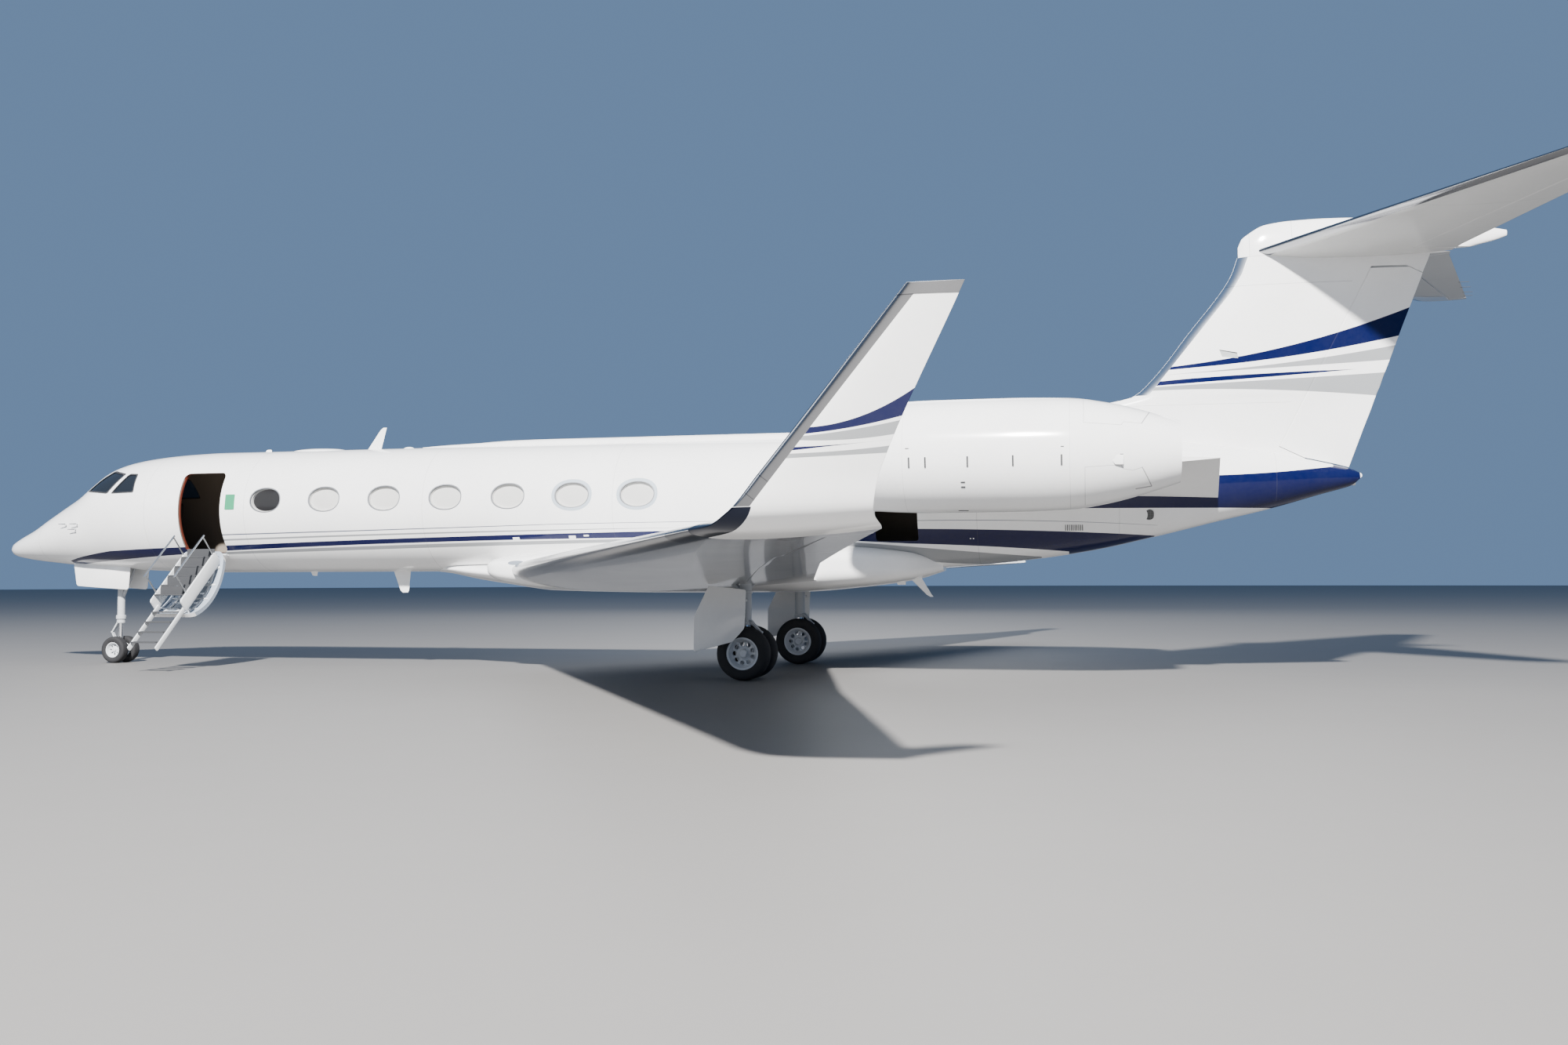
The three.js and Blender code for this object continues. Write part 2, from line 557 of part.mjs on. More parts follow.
// Main gear legs
const axleHeight = MAIN.radius;
const mainLeg = () => {
  const [x, y] = [X(MAIN.station), MAIN.y];
  const legX = x + 30;
  return cut(
    join(
      bar([legX, y, 1700], [legX, y, 900], 100, 16),
      bar([legX, y, 920], [x, y, axleHeight], 66, 16),
      bar([x, y - 75, axleHeight], [x, y + 75, axleHeight], 95, 16),
      bar([legX, y, 1480], [legX, y - 700, 1640], 45, 12),
      bar([legX, y, 1450], [legX + 420, y, 1690], 40, 12),
      bar([legX - 60, y, 980], [legX - 260, y, 780], 30, 10),
      bar([legX - 260, y, 780], [x - 60, y, axleHeight + 50], 30, 10),
    ),
    bar([x, y - 200, axleHeight], [x, y + 200, axleHeight], MAIN.axle + PIN_PLAY, 16),
  );
};
const wingBlank = foilLoft(WING.map(([s, y, z, c, t, cant, twist]) => [s, y, z, c, t + 2 * GAP, cant, twist]));
addPair("main_leg", cut(mainLeg(), wingBlank, fairing(GAP)), GREY);

// A pair of wheels on one axle. Profile rows: radius, distance along the axle.
function wheelPair({ station, spacing, radius, width, rim, axle, sides }, y) {
  const half = spacing / 2;
  const w = width / 2;
  const tyre = (c) => [
    [rim, c - w * 0.8],
    [radius * 0.82, c - w],
    [radius * 0.95, c - w * 0.8],
    [radius, c - w * 0.4],
    [radius, c + w * 0.4],
    [radius * 0.95, c + w * 0.8],
    [radius * 0.82, c + w],
    [rim, c + w * 0.8],
  ];
  const profile = [
    [0, -half - w * 0.7],
    [rim * 0.45, -half - w * 0.7],
    [rim * 0.55, -half - w * 0.4],
    ...tyre(-half),
    [axle, -half + w * 0.55],
    [axle, half - w * 0.55],
    ...tyre(half),
    [rim * 0.55, half + w * 0.4],
    [rim * 0.45, half + w * 0.7],
    [0, half + w * 0.7],
  ];
  return turnedY(profile, X(station), y, radius, sides);
}
addPair("main_wheels", wheelPair(MAIN, MAIN.y), TYRE);

// Plate on each main leg that closes the well when the gear is up. Rows: station, z.
const LEG_PLATE = [[15730, 1560], [15540, 470], [16200, 600], [16430, 1490]];
const legPlate = join(
  plate(LEG_PLATE, 28, new THREE.Matrix4().makeTranslation(X(0), MAIN.y + 460, 0).multiply(ACROSS)),
  block(16265, 16355, MAIN.y + 60, MAIN.y + 470, 1290, 1330),
);
const legBlank = bar([X(MAIN.station) + 30, MAIN.y, 1900], [X(MAIN.station) + 30, MAIN.y, 700], 100 + 2 * GAP, 16);
addPair("leg_plate", cut(legPlate, wingBlank, legBlank), PAINT);

// Nose gear: fixed cylinder and brace, steered piston with the axle eye
const noseX = X(NOSE.station);
const PISTON = 48;
add(
  "nose_leg",
  cut(
    join(
      bar([noseX, 0, 2100], [noseX, 0, 900], 75, 16),
      bar([noseX, 0, 1250], [noseX - 380, 0, 2090], 34, 12),
      bar([noseX, -259.6, 1990], [noseX, 259.6, 1990], 45, 12),
      bar([noseX, 0, 960], [noseX, 0, 880], 95, 16),
    ),
    bar([noseX, 0, 1160], [noseX, 0, 800], PISTON + PIN_PLAY, 24),
  ),
  GREY,
);
const noseFork = cut(
  join(
    bar([noseX, 0, 1150], [noseX, 0, NOSE.radius], PISTON, 16),
    bar([noseX, -52, NOSE.radius], [noseX, 52, NOSE.radius], 62, 16),
    bar([noseX + 40, 0, 830], [noseX + 190, 0, 620], 20, 10),
    bar([noseX + 190, 0, 620], [noseX + 30, 0, NOSE.radius + 30], 20, 10),
    bar([noseX, 0, 870], [noseX, 0, 800], 80, 16),
  ),
  bar([noseX, -200, NOSE.radius], [noseX, 200, NOSE.radius], NOSE.axle + PIN_PLAY, 24),
);
add("nose_fork", noseFork, GREY);
add("nose_wheels", wheelPair(NOSE, 0), TYRE);
// Nose well doors hang open on each side. Rows: station, z.
const noseDoor = plate([[1720, 2050], [1800, 1560], [3000, 1480], [3040, 1980]], 22, new THREE.Matrix4().makeTranslation(X(0), 268, 0).multiply(ACROSS));
addPair("nose_well_door", cut(noseDoor, skinWhole), PAINT);

// Airstair: the leaf is cut from the wall in its closed place, then swung open on its hinge
const ARM = { stations: [4910, 5165, 5305, 5560], radius: 16 };
const arms = ARM.stations.map((s) => bar([X(s), HINGE.y, HINGE.z], [X(s), 850, FLOOR_HEIGHT + 60], ARM.radius, 6));
const leafClosed = join(
  cut(forwardSkin, forwardRoom).intersect(
    block(DOOR.front + DOOR.clearance, DOOR.back - DOOR.clearance, 500, 1400, FLOOR_HEIGHT + DOOR.clearance, DOOR.top - DOOR.clearance),
  ),
  hingeLine(HINGE.pin, 12),
  ...arms,
);
const swing = new THREE.Matrix4()
  .makeTranslation(0, HINGE.y, HINGE.z)
  .multiply(new THREE.Matrix4().makeRotationX(-rad(DOOR.openAngle)))
  .multiply(new THREE.Matrix4().makeTranslation(0, -HINGE.y, -HINGE.z));
const leafOpen = solid(geometryOf(leafClosed).applyMatrix4(swing));

// The open stair has axes forward, down the slope and out from it, from the hinge line.
const STAIR = { slope: 43, sides: [4950, 5580], side: 30, low: -50, high: 215, from: 160, to: 1520 };
const STEP = { first: 270, pitch: 258, count: 5, depth: 190, thick: 24, out: 185 };
const FOOT = { sides: [4983, 5547], side: 24, low: -50, high: 38, from: 1420, to: 2540, first: 1600, count: 4, out: 27, runner: 80 };
const RAIL = { from: 200, to: 1350, out: 660, radius: 17, posts: [240, 1290] };
const [slopeCos, slopeSin] = [Math.cos(rad(STAIR.slope)), Math.sin(rad(STAIR.slope))];
const stairPoint = (station, down, out) => [
  X(station),
  HINGE.y + down * slopeCos + out * slopeSin,
  HINGE.z - down * slopeSin + out * slopeCos,
];
const stairFrame = new THREE.Matrix4()
  .makeBasis(new THREE.Vector3(1, 0, 0), new THREE.Vector3(0, slopeCos, -slopeSin), new THREE.Vector3(0, slopeSin, slopeCos))
  .setPosition(0, HINGE.y, HINGE.z);
const slopeBox = (front, back, from, to, low, high) => {
  const g = new THREE.BoxGeometry(back - front, to - from, high - low);
  g.translate(X((front + back) / 2), (from + to) / 2, (low + high) / 2);
  return solid(g.applyMatrix4(stairFrame));
};
// A level tread between two stations, its upper face through a point of the slope
const tread = (front, back, down, out) => {
  const [, y, z] = stairPoint(0, down, out);
  return block(front, back, y - STEP.depth / 2, y + STEP.depth / 2, z - STEP.thick, z);
};
const sidePlates = ({ sides, side, from, to, low, high }) => sides.map((s) => slopeBox(s - side / 2, s + side / 2, from, to, low, high));
const upperTreads = Array.from({ length: STEP.count }, (_, i) => tread(STAIR.sides[0], STAIR.sides[1], STEP.first + i * STEP.pitch, STEP.out));
const handrail = (s) =>
  join(
    bar(stairPoint(s, RAIL.from, RAIL.out), stairPoint(s, RAIL.to, RAIL.out), RAIL.radius, 8),
    ...RAIL.posts.map((down) => bar(stairPoint(s, down, STAIR.high - 40), stairPoint(s, down, RAIL.out), RAIL.radius * 0.8, 8)),
  );
// Ties from the stair's lower end to the leaf's upper edge, which hangs below it
const leafEdge = new THREE.Vector3(0, 965, 3660).applyMatrix4(swing);
const tie = (s) => bar(stairPoint(s, STAIR.to - 50, STAIR.low + 40), [X(s), leafEdge.y, leafEdge.z], 15, 8);
add(
  "airstair_door",
  join(leafOpen, ...sidePlates(STAIR), ...upperTreads, ...STAIR.sides.map(handrail), ...STAIR.sides.map(tie)),
  PAINT,
);
// The stair's foot slides out from under the upper flight.
const lowerTreads = Array.from({ length: FOOT.count }, (_, i) => tread(FOOT.sides[0], FOOT.sides[1], FOOT.first + i * STEP.pitch, FOOT.out));
const runnerFaces = [STAIR.sides[0] + STAIR.side / 2 + PIN_PLAY, STAIR.sides[1] - STAIR.side / 2 - PIN_PLAY];
const runners = [
  slopeBox(runnerFaces[0], FOOT.sides[0], FOOT.from, FOOT.from + FOOT.runner, FOOT.low + 20, FOOT.high - 20),
  slopeBox(FOOT.sides[1], runnerFaces[1], FOOT.from, FOOT.from + FOOT.runner, FOOT.low + 20, FOOT.high - 20),
];
add("stair_foot", join(...sidePlates(FOOT), ...runners, ...lowerTreads), GREY);

export default jet;
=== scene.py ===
import bpy
import bmesh
import math
from mathutils import Matrix, Vector


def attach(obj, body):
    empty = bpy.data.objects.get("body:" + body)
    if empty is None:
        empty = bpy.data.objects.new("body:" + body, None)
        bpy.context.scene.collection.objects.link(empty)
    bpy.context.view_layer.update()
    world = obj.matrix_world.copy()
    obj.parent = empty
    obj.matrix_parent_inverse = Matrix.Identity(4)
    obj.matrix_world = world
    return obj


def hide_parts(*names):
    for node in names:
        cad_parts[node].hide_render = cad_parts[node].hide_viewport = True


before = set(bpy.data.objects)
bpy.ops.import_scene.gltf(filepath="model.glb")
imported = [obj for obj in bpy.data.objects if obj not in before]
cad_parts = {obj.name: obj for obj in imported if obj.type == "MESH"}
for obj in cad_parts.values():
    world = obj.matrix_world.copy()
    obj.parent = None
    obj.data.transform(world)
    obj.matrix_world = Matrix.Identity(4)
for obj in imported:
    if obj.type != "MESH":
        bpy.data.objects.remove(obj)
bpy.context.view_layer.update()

# Sizes in metres. A station is the distance aft of the nose tip.
LENGTH = 29.39
FLOOR = 2.2
WALL = 0.075
GAP = 0.0003


def x_at(station):
    return LENGTH / 2 - station


# Camera, at the photograph's angle
CAMERA_AT = (-7.122, 24.066, 1.677)
YAW, PITCH, ROLL = math.radians(12.511), math.radians(2.357), math.radians(-0.155)
SENSOR = 36
FOCAL = SENSOR * 1725.4 / 2000


def make_camera():
    data = bpy.data.cameras.new("camera")
    data.lens = FOCAL
    data.sensor_width = SENSOR
    data.clip_end = 500
    camera = bpy.data.objects.new("camera", data)
    level = math.cos(PITCH)
    forward = Vector((math.sin(YAW) * level, -math.cos(YAW) * level, math.sin(PITCH)))
    right = forward.cross(Vector((0, 0, 1))).normalized()
    up = right.cross(forward)
    turn = Matrix.Rotation(ROLL, 3, -forward)
    facing = Matrix((turn @ right, turn @ up, -forward)).transposed().to_4x4()
    camera.matrix_world = Matrix.Translation(CAMERA_AT) @ facing
    bpy.context.scene.collection.objects.link(camera)
    bpy.context.scene.camera = camera


make_camera()


# Mesh helpers
def new_piece(name, bm, smooth_angle=35.0):
    """Turns a bmesh into an object at the origin, its sharp edges marked by angle."""
    mesh = bpy.data.meshes.new(name)
    bm.to_mesh(mesh)
    bm.free()
    piece = bpy.data.objects.new(name, mesh)
    bpy.context.scene.collection.objects.link(piece)
    shade(piece, smooth_angle)
    return piece


def shade(piece, smooth_angle):
    mesh = piece.data
    mesh.shade_smooth()
    bm = bmesh.new()
    bm.from_mesh(mesh)
    limit = math.radians(smooth_angle)
    for edge in bm.edges:
        edge.smooth = len(edge.link_faces) == 2 and edge.calc_face_angle(0) < limit
    bm.to_mesh(mesh)
    bm.free()


def closed(bm):
    """Merges doubles and turns the faces outwards."""
    bmesh.ops.remove_doubles(bm, verts=bm.verts, dist=1e-5)
    bmesh.ops.recalc_face_normals(bm, faces=bm.faces)
    return bm


def read(table, station):
    """Straight-line reading of a table whose first column is the station."""
    for a, b in zip(table, table[1:]):
        if station <= b[0]:
            break
    t = min(max((station - a[0]) / (b[0] - a[0]), 0.0), 1.0)
    return [p + (q - p) * t for p, q in zip(a, b)]


def smooth_read(table, station):
    """Reading of a table on a curve that keeps its rows and doesn't overshoot."""
    last = len(table) - 1
    i = 0
    while i < last - 1 and station > table[i + 1][0]:
        i += 1
    a, b = table[i], table[i + 1]
    width = b[0] - a[0]
    t = min(max((station - a[0]) / width, 0.0), 1.0)

    def slope(k, column):
        if k == 0 or k == last:
            j = min(k, last - 1)
            return (table[j + 1][column] - table[j][column]) / (table[j + 1][0] - table[j][0])
        before = (table[k][column] - table[k - 1][column]) / (table[k][0] - table[k - 1][0])
        after = (table[k + 1][column] - table[k][column]) / (table[k + 1][0] - table[k][0])
        return 0.0 if before * after <= 0 else 2 * before * after / (before + after)

    row = [station]
    for column in range(1, len(a)):
        m0, m1 = slope(i, column) * width, slope(i + 1, column) * width
        h = t * t * (3 - 2 * t)
        row.append(a[column] * (1 - h) + b[column] * h + m0 * t * (1 - t) ** 2 - m1 * t * t * (1 - t))
    return row


def bulge(value, power):
    return math.copysign(abs(value) ** power, value)


def ring(bm, segments, cap, place):
    """A circle of vertices, each moved by a function of its cosine and sine."""
    made = bmesh.ops.create_circle(bm, cap_ends=cap, segments=segments, radius=1)["verts"]
    for v in made:
        v.co = place(v.co.x, v.co.y)
    return made


def ring_edges(verts):
    own = set(verts)
    return {e for v in verts for e in v.link_edges if e.other_vert(v) in own}


def loft(rings, segments=96):
    """A closed loft through rings, each given as a function of cosine and sine."""
    bm = bmesh.new()
    last = len(rings) - 1
    before = None
    for i, place in enumerate(rings):
        made = ring(bm, segments, i in (0, last), place)
        if before:
            bmesh.ops.bridge_loops(bm, edges=list(ring_edges(before)) + list(ring_edges(made)))
        before = made
    return closed(bm)


def hull(table, front, back, step=0.12, grow=0.0, segments=96, power=1.0, ease=1.0):
    """Loft of rounded sections, closer together in front where ease is above 1.

    Rows: station, top, bottom, half width."""
    count = max(2, math.ceil((back - front) / step))
    rings = []
    for i in range(count + 1):
        station = front + (back - front) * (i / count) ** ease
        _, top, bottom, half = smooth_read(table, station)
        x, mid, tall = x_at(station), (top + bottom) / 2, (top - bottom) / 2 + grow

        def place(c, s, x=x, mid=mid, tall=tall, half=half):
            return Vector((x, bulge(c, power) * (half + grow), mid + bulge(s, power) * tall))

        rings.append(place)
    return loft(rings, segments)


def section_height(u):
    """Half thickness of a wing section at a fraction of its chord, in thicknesses."""
    shape = 0.2969 * math.sqrt(u) - 0.126 * u - 0.3516 * u ** 2 + 0.2843 * u ** 3 - 0.1015 * u ** 4
    return shape * 5.0


def foil(rows, steps=1, segments=72):
    """Loft of wing sections. Rows: leading edge station, y, z, chord, thickness, cant, twist."""
    stations = []
    for a, b in zip(rows, rows[1:]):
        stations += [[p + (q - p) * i / steps for p, q in zip(a, b)] for i in range(steps)]
    stations.append(list(rows[-1]))
    rings = []
    for lead, y, z, chord, thick, cant, twist in stations:
        cant, twist = math.radians(cant), math.radians(twist)

        def place(c, s, lead=lead, y=y, z=z, chord=chord, thick=thick, cant=cant, twist=twist):
            u = (1 - c) / 2
            w = math.copysign(section_height(u), s) * thick if abs(s) > 1e-6 else 0.0
            aft = u * chord * math.cos(twist) + w * math.sin(twist)
            up = w * math.cos(twist) - u * chord * math.sin(twist)
            return Vector((x_at(lead + aft), y - up * math.sin(cant), z + up * math.cos(cant)))

        rings.append(place)
    return loft(rings, segments)


def box(low, high):
    bm = bmesh.new()
    size = [b - a for a, b in zip(low, high)]
    middle = [(a + b) / 2 for a, b in zip(low, high)]
    bmesh.ops.create_cube(bm, size=1)
    bmesh.ops.scale(bm, vec=size, verts=bm.verts)
    bmesh.ops.translate(bm, vec=middle, verts=bm.verts)
    return bm


def block(front, back, y0, y1, z0, z1):
    return box((x_at(back), y0, z0), (x_at(front), y1, z1))


def softened(bm, width, segments=2):
    bmesh.ops.bevel(bm, geom=list(bm.edges), offset=width, offset_type="OFFSET", segments=segments,
                    profile=0.5, affect="EDGES", material=-1, clamp_overlap=True)
    return bm


def bar(start, end, radius, sides=24, end_radius=None):
    start, end = Vector(start), Vector(end)
    bm = bmesh.new()
    along = end - start
    turn = along.to_track_quat("Z", "Y").to_matrix().to_4x4()
    place = Matrix.Translation((start + end) / 2) @ turn
    bmesh.ops.create_cone(bm, cap_ends=True, segments=sides, radius1=radius,
                          radius2=radius if end_radius is None else end_radius,
                          depth=along.length, matrix=place)
    return bm


def turned(profile, axis, centre, sides=72):
    """A spun body. Profile rows: radius, distance along the axis ('X' or 'Y')."""
    bm = bmesh.new()
    direction = Vector((1, 0, 0)) if axis == "X" else Vector((0, 1, 0))
    out = Vector((0, 0, 1))
    line = [bm.verts.new(Vector(centre) + direction * d + out * r) for r, d in profile]
    edges = [bm.edges.new(pair) for pair in zip(line, line[1:])]
    bmesh.ops.spin(bm, geom=line + edges, cent=centre, axis=direction, angle=2 * math.pi,
                   steps=sides, use_merge=True)
    return closed(bm)


def merged(*parts):
    """One bmesh from several, which may overlap."""
    whole = bmesh.new()
    for part in parts:
        mesh = bpy.data.meshes.new("part")
        part.to_mesh(mesh)
        part.free()
        whole.from_mesh(mesh)
        bpy.data.meshes.remove(mesh)
    return whole


def mirrored(bm):
    copy = bm.copy()
    bmesh.ops.scale(copy, vec=(1, -1, 1), verts=copy.verts)
    bmesh.ops.reverse_faces(copy, faces=copy.faces)
    return copy


def paired(bm):
    """A mesh and its mirror image."""
    return [bm, mirrored(bm)]


def combined(bm, *tools, operation="DIFFERENCE"):
    """The exact boolean of one closed mesh with others."""
    base = new_piece("base", bm)
    for i, tool in enumerate(tools):
        modifier = base.modifiers.new("cut%d" % i, "BOOLEAN")
        modifier.object = new_piece("cutter%d" % i, tool)
        modifier.operation = operation
        modifier.solver = "EXACT"
    graph = bpy.context.evaluated_depsgraph_get()
    mesh = bpy.data.meshes.new_from_object(base.evaluated_get(graph))
    result = bmesh.new()
    result.from_mesh(mesh)
    bpy.data.meshes.remove(mesh)
    for piece in [base] + [m.object for m in base.modifiers]:
        data = piece.data
        bpy.data.objects.remove(piece)
        bpy.data.meshes.remove(data)
    return result


def shared(bm, tool):
    """What two closed meshes have in common."""
    return combined(bm, tool, operation="INTERSECT")


# Fuselage and other rounded bodies. Rows: station, top, bottom, half width
FORM = [
    (0, 2.345, 2.275, 0.035), (0.06, 2.42, 2.215, 0.11), (0.2, 2.5, 2.165, 0.2),
    (0.4, 2.59, 2.125, 0.31), (0.8, 2.765, 2.07, 0.49), (1.19, 2.985, 2.03, 0.64),
    (1.6, 3.215, 1.99, 0.77), (2.06, 3.48, 1.955, 0.895), (2.4, 3.745, 1.93, 0.965),
    (2.74, 3.96, 1.91, 1.025), (3.2, 4.08, 1.88, 1.09), (3.8, 4.155, 1.852, 1.145),
    (4.4, 4.195, 1.835, 1.178), (5.1, 4.215, 1.825, 1.195), (17.4, 4.215, 1.825, 1.195),
    (18.6, 4.215, 1.835, 1.19), (20, 4.21, 1.9, 1.15), (21, 4.19, 2, 1.075), (22, 4.14, 2.15, 0.965),
    (23, 4.05, 2.37, 0.815), (24, 3.925, 2.615, 0.64), (24.95, 3.77, 2.842, 0.455),
    (25.7, 3.605, 3.058, 0.295), (26.2, 3.47, 3.2, 0.165), (26.34, 3.4, 3.27, 0.09),
]
BELLY = [
    (11.12, 1.93, 1.87, 0.85), (11.135, 1.99, 1.8, 1.0), (11.17, 2.04, 1.72, 1.12),
    (11.26, 2.08, 1.65, 1.21),
    (11.45, 2.11, 1.585, 1.29), (11.8, 2.16, 1.52, 1.37), (12.3, 2.22, 1.46, 1.43),
    (14.5, 2.31, 1.42, 1.47), (16.8, 2.31, 1.43, 1.43), (18, 2.26, 1.52, 1.23), (18.9, 2.17, 1.65, 0.9),
    (19.4, 2.05, 1.8, 0.3),
]
KEEL = [
    (9.6, 1.87, 1.83, 0.05), (10, 1.98, 1.785, 0.42), (10.63, 1.98, 1.665, 0.72), (11.2, 1.98, 1.58, 0.92),
    (12, 1.98, 1.485, 1.1), (12.6, 1.9, 1.5, 1.0),
]
SPINE = [
    (9.3, 4.232, 4.1, 0.04), (9.8, 4.262, 4.1, 0.09), (10.6, 4.292, 4.1, 0.125), (11, 4.318, 4.1, 0.14),
    (12, 4.33, 4.1, 0.15), (18.5, 4.33, 4.1, 0.15), (19.75, 4.29, 4.1, 0.12),
]
CAP = [
    (24.44, 7.3, 6.94, 0.02), (24.47, 7.4, 6.84, 0.05), (24.575, 7.5, 6.74, 0.09),
    (24.88, 7.665, 6.575, 0.13), (25.28, 7.713, 6.527, 0.142), (25.72, 7.724, 6.516, 0.145),
    (26.4, 7.705, 6.535, 0.13), (27.2, 7.63, 6.61, 0.105), (27.67, 7.56, 6.8, 0.092),
    (28.06, 7.485, 7.1, 0.072), (28.5, 7.4, 7.215, 0.048), (28.65, 7.365, 7.27, 0.025),
]
# Engine cowl. Rows: station, radius
COWL = [
    (18, 0.69), (18.2, 0.805), (18.6, 0.87), (19.5, 0.905), (20.6, 0.905), (21.6, 0.88), (22.2, 0.79),
    (22.8, 0.635), (23.28, 0.48),
]
# Wings and fins. Rows: station of the leading edge, y, z, chord, thickness, cant and twist in degrees
WING = [
    (11.555, 1, 1.83, 5.77, 0.62, 0, 2), (11.9, 1.6, 1.84, 5.45, 0.6, 0, 2),
    (14.79, 6.6, 1.96, 3.64, 0.39, 0, 1.3), (18.57, 13.15, 2.08, 1.64, 0.16, 0, 0),
]
WINGLET = [
    (18.572, 13.1503, 2.08, 1.638, 0.159, 0, 0), (18.83, 13.48, 2.1, 1.42, 0.12, 22, 0),
    (19.06, 13.7, 2.21, 1.165, 0.105, 52, 0), (19.33, 13.815, 2.49, 0.965, 0.095, 75, 0),
    (20.56, 14.235, 3.85, 0.43, 0.038, 75, 0),
]
FIN = [
    (21, 0, 3.4, 5.11, 0.2, 90, 0), (19.8, 0, 4.15, 6.59, 0.2, 90, 0),
    (20.9, 0, 4.42, 5.595, 0.22, 90, 0), (22.29, 0, 4.706, 4.31, 0.26, 90, 0),
    (22.64, 0, 4.78, 3.99, 0.29, 90, 0), (22.94, 0, 5.023, 3.78, 0.32, 90, 0),
    (23.64, 0, 5.899, 3.41, 0.315, 90, 0), (24.19, 0, 6.605, 3.13, 0.295, 90, 0),
    (24.32, 0, 6.827, 3.08, 0.29, 90, 0), (24.445, 0, 7.18, 3.09, 0.285, 90, 0),
]
STABILIZER = [
    (24.72, 0.06, 7.205, 3.09, 0.265, 0, 2.5), (24.98, 0.4, 7.212, 2.9, 0.255, 0, 2.5),
    (28.4, 5.3, 7.29, 0.99, 0.085, 0, 2), (28.56, 5.36, 7.29, 0.8, 0.045, 0, 2),
]
PYLON = [
    (19.1, 0.56, 2.99, 4.9, 0.33, 0, 0), (19.1, 1.82, 3.49, 4.83, 0.28, 0, -0.8),
]


# Shared shapes
def plate(outline, depth, place, corner=0.0, segments=6):
    """A flat outline in a place's first two axes, pushed out along its third."""
    bm = bmesh.new()
    bm.faces.new([bm.verts.new((a, b, 0)) for a, b in outline])
    if corner:
        bmesh.ops.bevel(bm, geom=list(bm.verts), offset=corner, offset_type="OFFSET", segments=segments,
                        profile=0.5, affect="VERTICES", material=-1)
    pushed = bmesh.ops.extrude_face_region(bm, geom=list(bm.faces))["geom"]
    far = [v for v in pushed if isinstance(v, bmesh.types.BMVert)]
    bmesh.ops.translate(bm, vec=(0, 0, depth), verts=far)
    bmesh.ops.transform(bm, matrix=place, verts=bm.verts)
    bmesh.ops.recalc_face_normals(bm, faces=bm.faces)
    return bm


def axes(first, second, third, origin):
    """A place whose three directions and origin are given."""
    return Matrix.Translation(origin) @ Matrix((first, second, third)).transposed().to_4x4()


def sideways(y):
    """Outlines in station and height, pushed out to port from a distance."""
    return axes((-1, 0, 0), (0, 0, 1), (0, 1, 0), (LENGTH / 2, y, 0))


def ahead(station):
    """Outlines in y and height, pushed out forward from a station."""
    return axes((0, 1, 0), (0, 0, 1), (1, 0, 0), (x_at(station), 0, 0))


def rectangle(front, low, back, high, margin=0.0):
    """The corners of an upright rectangle, drawn in by a margin."""
    return [(front + margin, low + margin), (back - margin, low + margin), (back - margin, high - margin),
            (front + margin, high - margin)]


def centred(long, tall):
    return rectangle(-long / 2, -tall / 2, long / 2, tall / 2)


def inset(outline, margin, reach=0.12):
    """An outline drawn in towards its middle."""
    a0 = sum(a for a, b in outline) / len(outline)
    b0 = sum(b for a, b in outline) / len(outline)
    share = 1 - margin / reach
    return [(a0 + (a - a0) * share, b0 + (b - b0) * share) for a, b in outline]


def oval(station, height, half_long, half_tall, y0, y1, sides=64):
    """A prism across the aircraft with an oval outline, a little squarer than an ellipse."""
    outline = []
    for i in range(sides):
        c, s = (bulge(turn(2 * math.pi * i / sides), 0.92) for turn in (math.cos, math.sin))
        outline.append((station + half_long * c, height + half_tall * s))
    return plate(outline, y1 - y0, sideways(y0))


def layer(outer, inner, front, back, step=0.1, segments=128):
    """The fuselage wall between two depths below the skin."""
    whole = hull(FORM, front, back, step, -outer, segments)
    return combined(whole, hull(FORM, front - 0.02, back + 0.02, step, -inner, segments))


def above(height):
    """All that lies above a height."""
    return box((-30, -9, height), (30, 9, 20))


def tube(rows, start, end, sides=40):
    """A round member with collars. Rows: share of the length from start to end, radius."""
    start, end = Vector(start), Vector(end)
    along = end - start
    profile = [(0, rows[0][0] * along.length)] + [(r, t * along.length) for t, r in rows]
    profile.append((0, rows[-1][0] * along.length))
    bm = turned(profile, "X", (0, 0, 0), sides)
    turn = Vector((1, 0, 0)).rotation_difference(along).to_matrix().to_4x4()
    bmesh.ops.transform(bm, matrix=Matrix.Translation(start) @ turn, verts=bm.verts)
    return bm


def row_at(rows, key, value):
    """The row of a wing at a value of one of its columns."""
    return read([[r[key], *r] for r in rows], value)[1:]


def hinge_radii(rows, key, start, end, play, steps):
    """Half thickness of a wing along a hinge line, as rows for a round member."""
    found = []
    for i in range(steps + 1):
        point = start.lerp(end, i / steps)
        row = row_at(rows, key, point[key])
        share = (LENGTH / 2 - point.x - row[0]) / row[3]
        found.append((i / steps, section_height(share) * row[4] + play))
    return found


SLOT = 0.012


